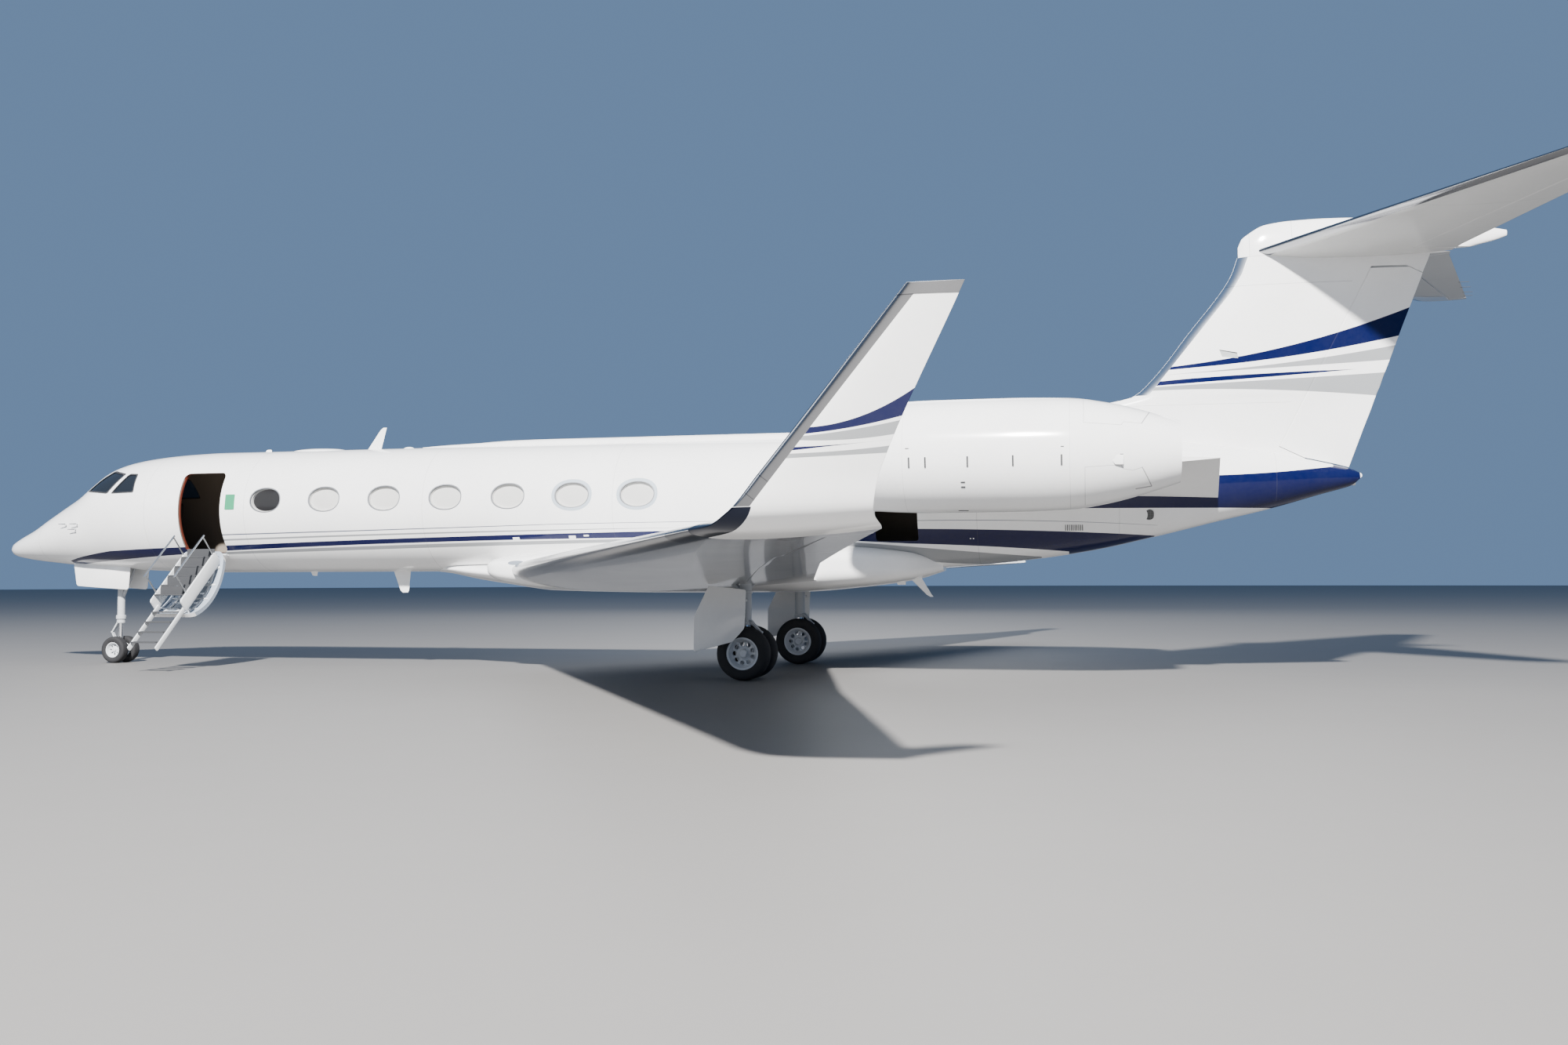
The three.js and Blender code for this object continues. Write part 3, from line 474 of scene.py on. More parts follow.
def split_surface(parent, rows, key, start, end, up=(0, 0, 1), play=0.007, reach=3.0, depth=0.7,
                  ceiling=None, headroom=0.0, steps=8):
    """The fixed part of a wing, hollowed behind, and the surface with a round nose on a hinge line."""
    start, end = Vector(start), Vector(end)
    length, along = (end - start).length, (end - start).normalized()
    forward = along.cross(Vector(up)).normalized()
    place = axes(forward, along, forward.cross(along), start)

    def space(front, gap, swell):
        """All behind a front, with a round nose on the line, longer by a gap at both ends."""
        turn = place @ axes((1, 0, 0), (0, 0, 1), (0, -1, 0), (0, length + gap, 0))
        outline = [(front, -depth), (front, depth), (-reach, depth), (-reach, -depth)]
        margin = along * (gap - 0.001)
        nose = tube(hinge_radii(rows, key, start, end, swell, steps), start - margin, end + margin, 48)
        return combined(plate(outline, length + 2 * gap, turn), nose, operation="UNION")

    room, body = space(SLOT, SLOT, play), space(-0.003, 0.0, -0.001)
    if ceiling:
        room = combined(room, above(ceiling))
        body = combined(body, above(ceiling - headroom))
    surface = shared(parent.copy(), body)
    return combined(parent, room), surface


def finish_piece(name, bm, material, nodes=(), body="airframe", smooth_angle=35.0):
    """Makes the piece, gives it its finish and its body, and hides the solids that it stands for."""
    piece = new_piece(name, bm, smooth_angle)
    for one in material if isinstance(material, list) else [material]:
        piece.data.materials.append(one)
    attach(piece, body)
    if nodes:
        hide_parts(*nodes)
    return piece


def both_sides(name, make, material, nodes=(), bodies=None, smooth_angle=35.0):
    """The same piece to port and, mirrored, to starboard."""
    made = []
    for side in ("_left", "_right"):
        bm = make() if side == "_left" else mirrored(make())
        body = bodies + side if bodies else "airframe"
        names = [n + side for n in nodes]
        made.append(finish_piece(name + side, bm, material, names, body, smooth_angle))
    return made


def paint_faces(pieces, index, test):
    """Another of the piece's materials goes on the faces that pass a test."""
    for piece in pieces:
        for face in piece.data.polygons:
            if test(face):
                face.material_index = index


# Node helpers
class Net:
    """Adds nodes to a tree; values may be numbers or sockets."""

    def __init__(self, tree):
        self.tree = tree

    def node(self, kind, **settings):
        made = self.tree.nodes.new(kind)
        for key, value in settings.items():
            setattr(made, key, value)
        return made

    def plug(self, socket, value):
        if isinstance(value, bpy.types.NodeSocket):
            self.tree.links.new(value, socket)
        elif isinstance(value, (tuple, list)) and len(socket.default_value) == 4 and len(value) == 3:
            socket.default_value = (*value, 1)
        else:
            socket.default_value = value

    def math(self, operation, a, b=0.0, c=0.0, clamp=False):
        made = self.node("ShaderNodeMath", operation=operation, use_clamp=clamp)
        for socket, value in zip(made.inputs, (a, b, c)):
            self.plug(socket, value)
        return made.outputs[0]

    def chain(self, operation, values):
        """One operation through a list of values."""
        total = values[0]
        for value in values[1:]:
            total = self.math(operation, total, value)
        return total

    def over(self, a, b, sharp=200.0):
        """Mask of where a is above b, with a narrow soft edge."""
        return self.math("MULTIPLY", self.math("SUBTRACT", a, b), sharp, clamp=True)

    def mix(self, factor, a, b):
        made = self.node("ShaderNodeMix", data_type="RGBA")
        for socket, value in zip((made.inputs[0], made.inputs[6], made.inputs[7]), (factor, a, b)):
            self.plug(socket, value)
        return made.outputs[2]

    def group(self, tree, *values):
        """Uses a node group, its inputs given in their order. Returns its outputs."""
        made = self.node("ShaderNodeGroup")
        made.node_tree = tree
        for socket, value in zip(made.inputs, values):
            self.plug(socket, value)
        return made.outputs

    def noise(self, vector, scale, detail, rough):
        made = self.node("ShaderNodeTexNoise")
        for label, value in (("Vector", vector), ("Scale", scale), ("Detail", detail), ("Roughness", rough)):
            self.plug(made.inputs[label], value)
        return made.outputs[0]


def new_group(name, inputs, outputs, vectors=()):
    """A group of plain numbers, save the inputs named as vectors. Returns its net and both ends' sockets."""
    tree = bpy.data.node_groups.new(name, "ShaderNodeTree")
    for label in inputs:
        kind = "NodeSocketVector" if label in vectors else "NodeSocketFloat"
        tree.interface.new_socket(name=label, in_out="INPUT", socket_type=kind)
    for label in outputs:
        tree.interface.new_socket(name=label, in_out="OUTPUT", socket_type="NodeSocketFloat")
    net = Net(tree)
    return net, net.node("NodeGroupInput").outputs, net.node("NodeGroupOutput").inputs


def make_band():
    """Mask of a band between two curves of height over x, within a range of x."""
    ends = [side + " " + letter for side in ("Upper", "Lower") for letter in "ABC"]
    net, given, out = new_group("band", ["X", "Z", *ends, "From X", "To X"], ["Mask"])
    x, z = given["X"], given["Z"]

    def curve(side):
        inner = net.math("MULTIPLY_ADD", given[side + " C"], x, given[side + " B"])
        return net.math("MULTIPLY_ADD", inner, x, given[side + " A"])

    pairs = [(curve("Upper"), z), (z, curve("Lower")), (x, given["From X"]), (given["To X"], x)]
    net.plug(out["Mask"], net.chain("MULTIPLY", [net.over(a, b, 400.0) for a, b in pairs]))
    return net.tree


def make_seam():
    """Mask of a thin line where a value equals a place, between two limits of another value."""
    net, given, out = new_group("seam", ["Value", "Place", "Half Width", "Other", "Low", "High"], ["Mask"])
    distance = net.math("ABSOLUTE", net.math("SUBTRACT", given["Value"], given["Place"]))
    near = net.math("LESS_THAN", distance, given["Half Width"])
    past_low = net.math("GREATER_THAN", given["Other"], given["Low"])
    before_high = net.math("LESS_THAN", given["Other"], given["High"])
    net.plug(out["Mask"], net.chain("MULTIPLY", [past_low, before_high, near]))
    return net.tree


def make_weather():
    """Faint uneven dust and soft streaks: a darkening and a roughness to add."""
    net, given, out = new_group("weather", ["Position", "Amount"], ["Shade", "Rough"], ["Position"])
    broad = net.noise(given["Position"], 0.9, 4.0, 0.55)
    fine = net.noise(given["Position"], 14.0, 5.0, 0.65)
    mixed = net.math("MULTIPLY_ADD", fine, 0.35, net.math("MULTIPLY", broad, 0.65))
    shade = net.math("MULTIPLY", net.math("SUBTRACT", mixed, 0.42, clamp=True), given["Amount"])
    net.plug(out["Shade"], shade)
    net.plug(out["Rough"], net.math("MULTIPLY", mixed, net.math("MULTIPLY", given["Amount"], 0.35)))
    return net.tree


def make_stroke():
    """Mask of a thin straight line between two points, in side view."""
    names = ["X", "Z", "Start X", "Start Z", "End X", "End Z", "Half Width"]
    net, given, out = new_group("stroke", names, ["Mask"])
    run = net.math("SUBTRACT", given["End X"], given["Start X"])
    rise = net.math("SUBTRACT", given["End Z"], given["Start Z"])
    across = net.math("SUBTRACT", given["X"], given["Start X"])
    up = net.math("SUBTRACT", given["Z"], given["Start Z"])
    along = net.math("MULTIPLY_ADD", across, run, net.math("MULTIPLY", up, rise))
    size = net.math("MULTIPLY_ADD", run, run, net.math("MULTIPLY", rise, rise))
    share = net.math("DIVIDE", along, size, clamp=True)
    off_x = net.math("SUBTRACT", across, net.math("MULTIPLY", share, run))
    off_z = net.math("SUBTRACT", up, net.math("MULTIPLY", share, rise))
    squared = net.math("MULTIPLY_ADD", off_x, off_x, net.math("MULTIPLY", off_z, off_z))
    limit = net.math("MULTIPLY", given["Half Width"], given["Half Width"])
    net.plug(out["Mask"], net.math("LESS_THAN", squared, limit))
    return net.tree


BAND, SEAM, STROKE, WEATHER = make_band(), make_seam(), make_stroke(), make_weather()


def curve_through(points):
    """Coefficients A, B, C of z = A + B x + C x² through three pairs of station and height."""
    x0, x1, x2 = (x_at(s) for s in points[::2])
    z0, z1, z2 = points[1::2]
    c = ((z2 - z0) / (x2 - x0) - (z1 - z0) / (x1 - x0)) / (x2 - x1)
    b = (z1 - z0) / (x1 - x0) - c * (x0 + x1)
    return z0 - b * x0 - c * x0 * x0, b, c


# Finishes
WHITE = (0.88, 0.88, 0.875)
WING_GREY = (0.62, 0.63, 0.64)
# Darker grey for the wing's downward faces: painted shade of the underside
WING_UNDERSIDE_PAINTED_SHADE = (0.3, 0.305, 0.315)
# Darker tone for the tail's downward faces: painted shade of the underside
TAIL_UNDERSIDE_PAINTED_SHADE = (0.61, 0.61, 0.6)
BLUE = (0.002, 0.004, 0.042)
STRIPE_GREY = (0.27, 0.28, 0.29)
DARK_LINE = (0.12, 0.13, 0.17)
SEAM_DARK = (0.06, 0.06, 0.07)
LENS_DARK = (0.03, 0.035, 0.055)
# Polished leading-edge metal, darkened as a painted reflection of dark ground
POLISH_PAINTED_DARK_REFLECTION = (0.3, 0.305, 0.32)
# A lighter copy of the same polished metal: a painted reflection of bright sky, used on the fin
POLISH_PAINTED_SKY_REFLECTION = (0.85, 0.87, 0.9)
DUST = (0.1, 0.095, 0.085)
PAINT_ROUGH, POLISH_ROUGH = 0.1, 0.12
COAT = 0.2


class Look(Net):
    """A material on object coordinates with a Principled shader."""

    def __init__(self, name, colour, rough=0.3, metal=0.0, **shader):
        self.material = bpy.data.materials.new(name)
        self.material.use_nodes = True
        super().__init__(self.material.node_tree)
        self.shader = next(n for n in self.tree.nodes if n.type == "BSDF_PRINCIPLED")
        self.place = self.node("ShaderNodeTexCoord").outputs["Object"]
        split = self.node("ShaderNodeSeparateXYZ")
        self.plug(split.inputs[0], self.place)
        self.x, self.y, self.z = split.outputs
        self.colour, self.rough = colour, rough
        for key, value in {"Metallic": metal, **shader}.items():
            self.shader.inputs[key.replace("_", " ")].default_value = value

    def paint(self, mask, colour):
        self.colour = self.mix(mask, self.colour, colour)

    def bands(self, rows):
        """Painted bands. Rows: colour, front, back, and the curves of the upper and the lower edge."""
        for colour, front, back, upper, lower in rows:
            curves = (*curve_through(upper), *curve_through(lower))
            self.paint(self.group(BAND, self.x, self.z, *curves, x_at(back), x_at(front))[0], colour)

    def seams(self, rows, strength=0.4):
        """Thin panel lines. Rows: value, place, half width, other value, low, high."""
        masks = [self.group(SEAM, *row)[0] for row in rows]
        self.paint(self.math("MULTIPLY", self.chain("MAXIMUM", masks), strength), SEAM_DARK)

    def strokes(self, lines, half=0.004, strength=0.5):
        """Thin drawn lines in side view, each a list of stations and heights."""
        masks = []
        for line in lines:
            for (s0, z0), (s1, z1) in zip(line, line[1:]):
                masks.append(self.group(STROKE, self.x, self.z, x_at(s0), z0, x_at(s1), z1, half)[0])
        self.paint(self.math("MULTIPLY", self.chain("MAXIMUM", masks), strength), SEAM_DARK)

    def slant(self, value, slope, station, place):
        """The x of a slanting edge that passes a station at one place of a value."""
        return self.math("MULTIPLY_ADD", value, -slope, x_at(station) + slope * place)

    def polish(self, mask, colour=POLISH_PAINTED_DARK_REFLECTION):
        """Bare polished metal where the mask is 1."""
        self.paint(mask, colour)
        self.plug(self.shader.inputs["Metallic"], mask)
        self.plug(self.shader.inputs["Coat Weight"], self.math("MULTIPLY_ADD", mask, -COAT, COAT))
        self.rough = self.math("MULTIPLY_ADD", mask, POLISH_ROUGH - self.rough, self.rough)

    def grain(self, scale, height):
        """A fine raised grain."""
        bump = self.node("ShaderNodeBump")
        bump.inputs["Distance"].default_value = height
        self.plug(bump.inputs["Height"], self.noise(self.place, scale, 4.0, 0.6))
        self.plug(self.shader.inputs["Normal"], bump.outputs[0])

    def done(self, weather=0.25):
        shade, dull = self.group(WEATHER, self.place, weather)
        self.paint(shade, DUST)
        self.plug(self.shader.inputs["Base Color"], self.colour)
        self.plug(self.shader.inputs["Roughness"], self.math("ADD", dull, self.rough))
        return self.material


# Places on the aircraft. The door and the hatch: front, bottom, back, top
WINDOWS = [6.65 + 1.235 * i for i in range(7)]
WINDOW_Z = 3.185
FRONT_PANE = [(0.045, 3.53), (0.56, 3.5), (0.47, 3.86), (0.045, 3.915)]
SIDE_PANES = [
    [(2.35, 3.44), (3.04, 3.37), (3.31, 3.78), (2.87, 3.865)],
    [(3.13, 3.37), (3.7, 3.38), (3.63, 3.77), (3.4, 3.78)],
]
DOOR = (4.78, 2.2, 5.69, 3.74)
HATCH = (18.32, 2.31, 19.05, 2.88)
HINGE_Y, HINGE_Z = 0.905, 2.165
OPEN = math.radians(137)
ENGINE = (0, 2.35, 3.62)

# Stripes. Rows: colour, front and back station, upper and lower edge through three stations and heights
HULL_BANDS = [
    (BLUE, 1.75, 3.0, (1.8, 2.08, 2.33, 2.17, 2.95, 2.25), (2.13, 2.01, 3.11, 2.08, 4.26, 2.15)),
    (BLUE, 2.99, 5.41, (2.95, 2.25, 3.56, 2.275, 5.4, 2.327), (2.13, 2.01, 3.11, 2.08, 4.26, 2.15)),
    (BLUE, 5.4, 15.5, (5.89, 2.34, 10.5, 2.46, 15.5, 2.53), (5.84, 2.24, 10.47, 2.37, 15.5, 2.405)),
    (STRIPE_GREY, 5.4, 15.5, (5.83, 2.22, 10.46, 2.34, 15.5, 2.4), (5.8, 2.17, 10.43, 2.27, 15.5, 2.36)),
    (DARK_LINE, 5.3, 12.39, (5.97, 2.554, 8.29, 2.593, 12.38, 2.667),
     (5.97, 2.528, 8.29, 2.569, 12.38, 2.653)),
    (STRIPE_GREY, 5.3, 15.5, (5.93, 2.462, 10.51, 2.548, 15.5, 2.58),
     (5.93, 2.426, 10.51, 2.518, 15.5, 2.58)),
    (BLUE, 15.49, 18.91, (15.5, 2.53, 17.2, 2.535, 19.04, 2.514), (15.5, 2.405, 17.2, 2.35, 18.89, 2.264)),
    (STRIPE_GREY, 15.49, 18.86, (15.5, 2.4, 17.2, 2.34, 18.88, 2.218),
     (15.5, 2.36, 17.2, 2.2, 18.84, 1.987)),
    (DARK_LINE, 12.38, 19.05, (12.38, 2.667, 15.5, 2.685, 19.04, 2.657),
     (12.38, 2.653, 15.5, 2.673, 19.04, 2.645)),
    (BLUE, 18.9, 21.57, (19.04, 2.514, 20.33, 2.489, 23.01, 2.385),
     (18.89, 2.264, 19.96, 2.222, 21.57, 2.12)),
    (BLUE, 21.56, 23.2, (19.04, 2.514, 20.33, 2.489, 23.01, 2.385), (21.0, 1.5, 22, 1.8, 23.01, 2.385)),
    (STRIPE_GREY, 18.85, 21.1, (18.88, 2.218, 19.95, 2.124, 21.1, 2.037),
     (18.84, 1.987, 19.55, 1.931, 21.1, 1.93)),
    (DARK_LINE, 19.04, 23.03, (19.04, 2.657, 21.03, 2.636, 23.03, 2.552),
     (19.04, 2.645, 21.03, 2.624, 23.03, 2.546)),
    (BLUE, 20.4, 24.02, (20.4, 2.84, 22.3, 3.17, 24.02, 3.369), (20, 2.83, 22, 2.83, 24, 2.83)),
    (BLUE, 24.01, 25.9, (24.02, 3.369, 25.19, 3.437, 25.7, 3.49), (20, 2.83, 22, 2.83, 24, 2.83)),
    (BLUE, 25.88, 26.31, (20, 4.0, 22, 4.0, 24, 4.0), (20, 2.5, 22, 2.5, 24, 2.5)),
]
WINGLET_BANDS = [
    (BLUE, 19.3, 21, (19.79, 2.832, 20.23, 2.922, 20.67, 3.154), (19.75, 2.781, 20.16, 2.83, 20.57, 2.921)),
    (STRIPE_GREY, 19.3, 21, (19.86, 2.778, 20.21, 2.822, 20.55, 2.886),
     (19.7, 2.733, 20.1, 2.732, 20.5, 2.778)),
    (BLUE, 19.3, 21, (19.66, 2.686, 19.94, 2.695, 20.22, 2.713), (19.63, 2.658, 19.93, 2.684, 20.22, 2.71)),
    (STRIPE_GREY, 19.3, 21, (19.63, 2.638, 20.05, 2.654, 20.47, 2.695),
     (19.6, 2.6, 20.02, 2.614, 20.43, 2.632)),
]
FIN_BANDS = [
    (BLUE, 22.6, 27.4, (23.32, 5.284, 25.25, 5.572, 27.17, 6.165),
     (23.28, 5.23, 25.14, 5.373, 26.99, 5.689)),
    (STRIPE_GREY, 22.6, 27.4, (23.24, 5.148, 25.08, 5.272, 26.92, 5.531),
     (23.21, 5.142, 25.03, 5.199, 26.85, 5.289)),
    (BLUE, 22.6, 27.4, (23.13, 5.039, 24.69, 5.105, 26.25, 5.142),
     (23.09, 4.961, 24.67, 5.034, 26.25, 5.138)),
    (STRIPE_GREY, 22.6, 27.4, (23.06, 4.942, 24.9, 5.0, 26.75, 5.081),
     (23.02, 4.878, 24.81, 4.835, 26.6, 4.694)),
]


def paint_look(name, colour=WHITE, coat_rough=0.04, **shader):
    return Look(name, colour, PAINT_ROUGH, Coat_Weight=COAT, Coat_Roughness=coat_rough,
                Specular_IOR_Level=0.25, **shader)


def make_hull_paint():
    look = paint_look("fuselage paint")
    look.bands(HULL_BANDS)
    rings = (1.19, 4.0, 6.2, 9.9, 13.6, 17.4, 20.05, 22.4, 24.95)
    look.seams([(look.x, x_at(s), 0.004, look.z, 0, 5.0) for s in rings], 0.3)
    return look.done()


def make_wing_paint(name, colour):
    look = paint_look(name, colour, 0.015, Coat_IOR=2.0)
    across = look.math("ABSOLUTE", look.y)
    behind = look.math("SUBTRACT", look.slant(across, 0.5775, 11.9, 1.6), look.x)
    rows = [(across, p, 0.003, behind, -1, 0.32) for p in (3.4, 5.2, 7.0, 8.8, 10.6, 12.3)]
    rows += [(across, p, 0.0025, behind, 0.25, 9) for p in (2.5, 6.1, 9.65, 12.75)]
    look.seams(rows + [(behind, 0.33, 0.003, across, 1.6, 13.1)])
    band = look.over(0.2, behind)
    look.polish(band)
    look.paint(look.math("MULTIPLY", band, look.math("GREATER_THAN", across, 12.35)), LENS_DARK)
    return look.done()


def make_winglet_paint():
    look = paint_look("winglet paint")
    look.bands(WINGLET_BANDS)
    upper_edge = look.slant(look.z, 0.893, 19.293, 2.282)
    root_edge = look.slant(look.math("ABSOLUTE", look.y), 0.85, 18.742, 13.15)
    high = look.math("SUBTRACT", look.z, 2.24)
    upper = look.math("MINIMUM", high, look.math("SUBTRACT", look.x, upper_edge))
    root = look.math("MINIMUM", look.math("MULTIPLY", high, -1.0), look.math("SUBTRACT", look.x, root_edge))
    band = look.over(look.math("MAXIMUM", upper, root), 0.0, 400.0)
    look.polish(look.math("MAXIMUM", band, look.over(look.z, 3.762, 400.0)))
    joint = look.math("MULTIPLY_ADD", look.x, -0.758, look.z)
    rows = [(joint, place, 0.004, band, 0.5, 2) for place in (5.778, 6.008)]
    look.seams([(look.z, 3.762, 0.004, look.x, -30, 30)] + rows, 0.7)
    look.paint(look.math("MULTIPLY", band, look.math("LESS_THAN", look.z, 2.235)), LENS_DARK)
    return look.done()


def make_fin_paint():
    look = paint_look("fin paint")
    look.bands(FIN_BANDS)
    rows = ((0.8, 23.11, 5.023), (0.586, 24.36, 6.605), (0.354, 24.49, 6.827))
    edges = [look.slant(look.z, *row) for row in rows]
    nearest = look.math("SUBTRACT", look.x, look.chain("MAXIMUM", edges))
    nearest = look.math("MINIMUM", nearest, look.math("SUBTRACT", look.z, 4.8))
    # The fin's leading edge takes the lighter polish, a painted sky reflection
    look.polish(look.over(nearest, 0.0), POLISH_PAINTED_SKY_REFLECTION)
    front = look.math("SUBTRACT", look.x, look.slant(look.z, 0.5047, 24.86, 3.87))
    look.seams([(look.z, 6.62, 0.004, front, 0, 9), (look.z, 4.62, 0.003, front, 0, 9)])
    return look.done()


def make_cap_paint():
    look = paint_look("fin cap paint")
    look.seams([(look.x, x_at(s), 0.004, look.z, 0, 9) for s in (25.3, 24.62)])
    return look.done()


def make_stabilizer_paint(name, colour):
    look = paint_look(name, colour)
    across = look.math("ABSOLUTE", look.y)
    behind = look.math("SUBTRACT", look.slant(across, 0.698, 24.98, 0.4), look.x)
    look.seams([(behind, 0.155, 0.003, across, 0.3, 5.4), (across, 2.7, 0.003, behind, 0, 9)])
    look.polish(look.over(0.15, behind))
    return look.done()


def make_cowl_paint():
    look = paint_look("nacelle paint")
    rings = ((21.62, 0.004), (18.3, 0.003), (19.07, 0.003))
    look.seams([(look.x, x_at(s), half, look.z, 0, 9) for s, half in rings], 0.25)
    upper = [(21.83, 4.43), (21.828, 4.028), (22.385, 3.987), (22.422, 4.039), (22.689, 4.015),
             (22.823, 4.221)]
    lower = [(21.839, 2.8), (21.843, 3.342), (22.144, 3.363), (22.376, 3.374), (22.411, 3.317),
             (22.55, 3.294), (22.689, 3.34), (22.837, 3.072), (22.6, 3.03)]
    look.strokes([upper, lower])
    look.strokes([lower[-3:], upper[-2:]], 0.008)
    look.polish(look.over(look.x, x_at(18.19), 300.0))
    return look.done()


def plain(name, colour, rough=0.4, metal=0.0, weather=0.3, **shader):
    return Look(name, colour, rough, metal, **shader).done(weather)


def make_mesh():
    """Dark mesh: paler wires over a dark opening."""
    look = Look("vent mesh", (0.02, 0.02, 0.022), 0.6)
    shares = [look.math("FRACT", look.math("MULTIPLY", value, 42.0)) for value in (look.x, look.z)]
    wires = [look.math("LESS_THAN", share, 0.22) for share in shares]
    look.paint(look.chain("MAXIMUM", wires), (0.16, 0.165, 0.17))
    return look.done(0.2)


def grained(name, colour, rough, scale, height, weather=0.4, **shader):
    look = Look(name, colour, rough, **shader)
    look.grain(scale, height)
    return look.done(weather)


def make_glass(name, colour, alpha):
    look = Look(name, colour, 0.04, Alpha=alpha, IOR=1.5)
    look.material.surface_render_method = "DITHERED"
    return look.done(0.05)


HULL_PAINT = make_hull_paint()
# The wing's second material, for its downward faces, is painted shade
WING_PAINT_AND_SHADE = [make_wing_paint("wing paint", WING_GREY), make_wing_paint("wing underside paint", WING_UNDERSIDE_PAINTED_SHADE)]
WINGLET_PAINT = make_winglet_paint()
FIN_PAINT = make_fin_paint()
# The stabilizer's second material, for its downward faces, is painted shade
STABILIZER_PAINT_AND_SHADE = [make_stabilizer_paint("stabilizer paint", WHITE),
                    make_stabilizer_paint("stabilizer underside paint", TAIL_UNDERSIDE_PAINTED_SHADE)]
COWL_PAINT = make_cowl_paint()
CAP_PAINT = make_cap_paint()
MESH = make_mesh()
HALO = plain("window surround", (0.42, 0.48, 0.54), 0.3)
WHITE_PAINT = paint_look("white paint").done()
METAL = plain("polished metal", (0.72, 0.73, 0.75), 0.14, 1.0)
CHROME = plain("chrome", (0.85, 0.86, 0.88), 0.06, 1.0, 0.1)
GEAR_PAINT = plain("gear paint", (0.5, 0.52, 0.54), 0.35)
HUB_PAINT = plain("hub paint", (0.62, 0.64, 0.66), 0.3)
RUBBER = grained("tyre rubber", (0.022, 0.022, 0.024), 0.72, 160.0, 0.0006, 0.5, Specular_IOR_Level=0.35)
SEAL = plain("dark seal", (0.03, 0.03, 0.033), 0.6)
DARK = plain("dark fitting", (0.05, 0.05, 0.055), 0.45)
LINING = plain("cabin lining", (0.2, 0.17, 0.14), 0.7)
WELL_PAINT = plain("well paint", (0.35, 0.37, 0.37), 0.5)
JAMB = plain("door jamb wood", (0.16, 0.035, 0.02), 0.35)
COCKPIT_GLASS = make_glass("cockpit glass", (0.012, 0.015, 0.02), 0.86)
CABIN_GLASS = make_glass("cabin glass", (0.05, 0.055, 0.065), 0.12)
SHADE_CREAM = plain("window shade", (0.9, 0.89, 0.86), 0.7)
WINDOW_FRAME = plain("window frame", (0.3, 0.31, 0.33), 0.3, 0.6)
STAIR_WHITE = plain("stair white", (0.72, 0.74, 0.75), 0.35)
STAIR_BLUE = plain("stair lining", (0.36, 0.41, 0.48), 0.45)
CARPET = grained("stair carpet", (0.045, 0.047, 0.052), 0.95, 420.0, 0.002)
RAIL_METAL = plain("rail metal", (0.62, 0.64, 0.66), 0.25, 1.0)
FAN_METAL = plain("titanium", (0.42, 0.43, 0.45), 0.3, 1.0)
HOT_METAL = plain("hot metal", (0.3, 0.28, 0.26), 0.35, 1.0)
LEATHER = grained("seat leather", (0.55, 0.47, 0.37), 0.5, 260.0, 0.0006)
LENS = plain("lamp lens", (0.22, 0.25, 0.29), 0.05, 0.0, 0.1)
BEACON_RED = plain("beacon red", (0.55, 0.03, 0.02), 0.1)
GREEN = plain("green plate", (0.02, 0.25, 0.12), 0.4)


# Fuselage
def pane_prism(pane, margin=0.0):
    """The prism through a windscreen or side pane, to port."""
    if pane == 0:
        return plate(inset(FRONT_PANE, margin), 1.08, ahead(2.74), 0.03)
    return plate(inset(SIDE_PANES[pane - 1], margin), 1.0, sideways(0.43), 0.04)


def make_skin():
    skin = hull(FORM, 0, 26.34, 0.115, 0.0, 144)
    room = combined(hull(FORM, 1.54, 17.35, 0.2, -WALL), block(1.5, 17.4, -2, 2, 1, FLOOR))
    bay = combined(hull(FORM, 17.3, 19.7, 0.2, -WALL), block(17, 20, -2, 2, 1, HATCH[1]))
    openings = [oval(s, WINDOW_Z, 0.33, 0.2415, -1.5, 1.5, 48) for s in WINDOWS]
    openings += [
        plate(rectangle(*DOOR), 1.2, sideways(0.45), 0.11, 8),
        plate(rectangle(*HATCH), 1.0, sideways(0.7), 0.05),
        block(1.7, 3.05, -0.26, 0.26, 1.0, 2.12),
        turned([(0, -0.6), (0.105, -0.6), (0.105, 0), (0, 0)], "X", (x_at(26.0), 0, 3.292), 40),
    ]
    openings += paired(pane_prism(0)) + paired(pane_prism(2))
    return combined(skin, room, bay, merged(*openings), merged(*paired(pane_prism(1))))


def make_lugs():
    """The airstair's hinge lugs, under the sill."""
    outline = rectangle(0.815, 2.141, 0.927, 2.187)
    return merged(*[plate(outline, 0.024, ahead(s + 0.012), 0.015, 4) for s in (4.84, 5.235, 5.63)])


def depth_share(point):
    """How far out a point lies in the fuselage's section, 1 on the skin."""
    _, top, bottom, half = smooth_read(FORM, LENGTH / 2 - point.x)
    return math.hypot(point.y / half, (point.z - (top + bottom) / 2) / ((top - bottom) / 2))


def hull_material(face):
    """The number of the material for a face of the fuselage: paint, lining, nose well or door jamb."""
    s, y, z = LENGTH / 2 - face.center.x, face.center.y, face.center.z
    share = depth_share(face.center)
    if share >= 0.985:
        return 0
    if 1.69 < s < 3.06 and z < 2.14:
        return 2
    if share < 0.945 and (17.3 < s < 19.71 or 1.5 < s < 17.36):
        return 1
    return 3 if 4.77 < s < 5.7 and y > 0.6 and 2.19 < z < 3.75 else 0


fuselage = finish_piece(
    "fuselage", merged(make_skin(), make_lugs()), [HULL_PAINT, LINING, WELL_PAINT, JAMB],
    ("nose_radome", "cockpit_shell", "forward_keel", "cabin_shell", "cabin_keel", "aft_fuselage",
     "tail_cone"),
    smooth_angle=30,
)
for one in fuselage.data.polygons:
    one.material_index = hull_material(one)


def make_pane(pane):
    return shared(layer(0.012, 0.034, 1.5, 4.2, 0.06), pane_prism(pane, 0.016))


def make_gasket(pane):
    ring = shared(layer(-0.0005, 0.05, 1.5, 4.2, 0.06), pane_prism(pane))
    return combined(ring, pane_prism(pane, 0.016))


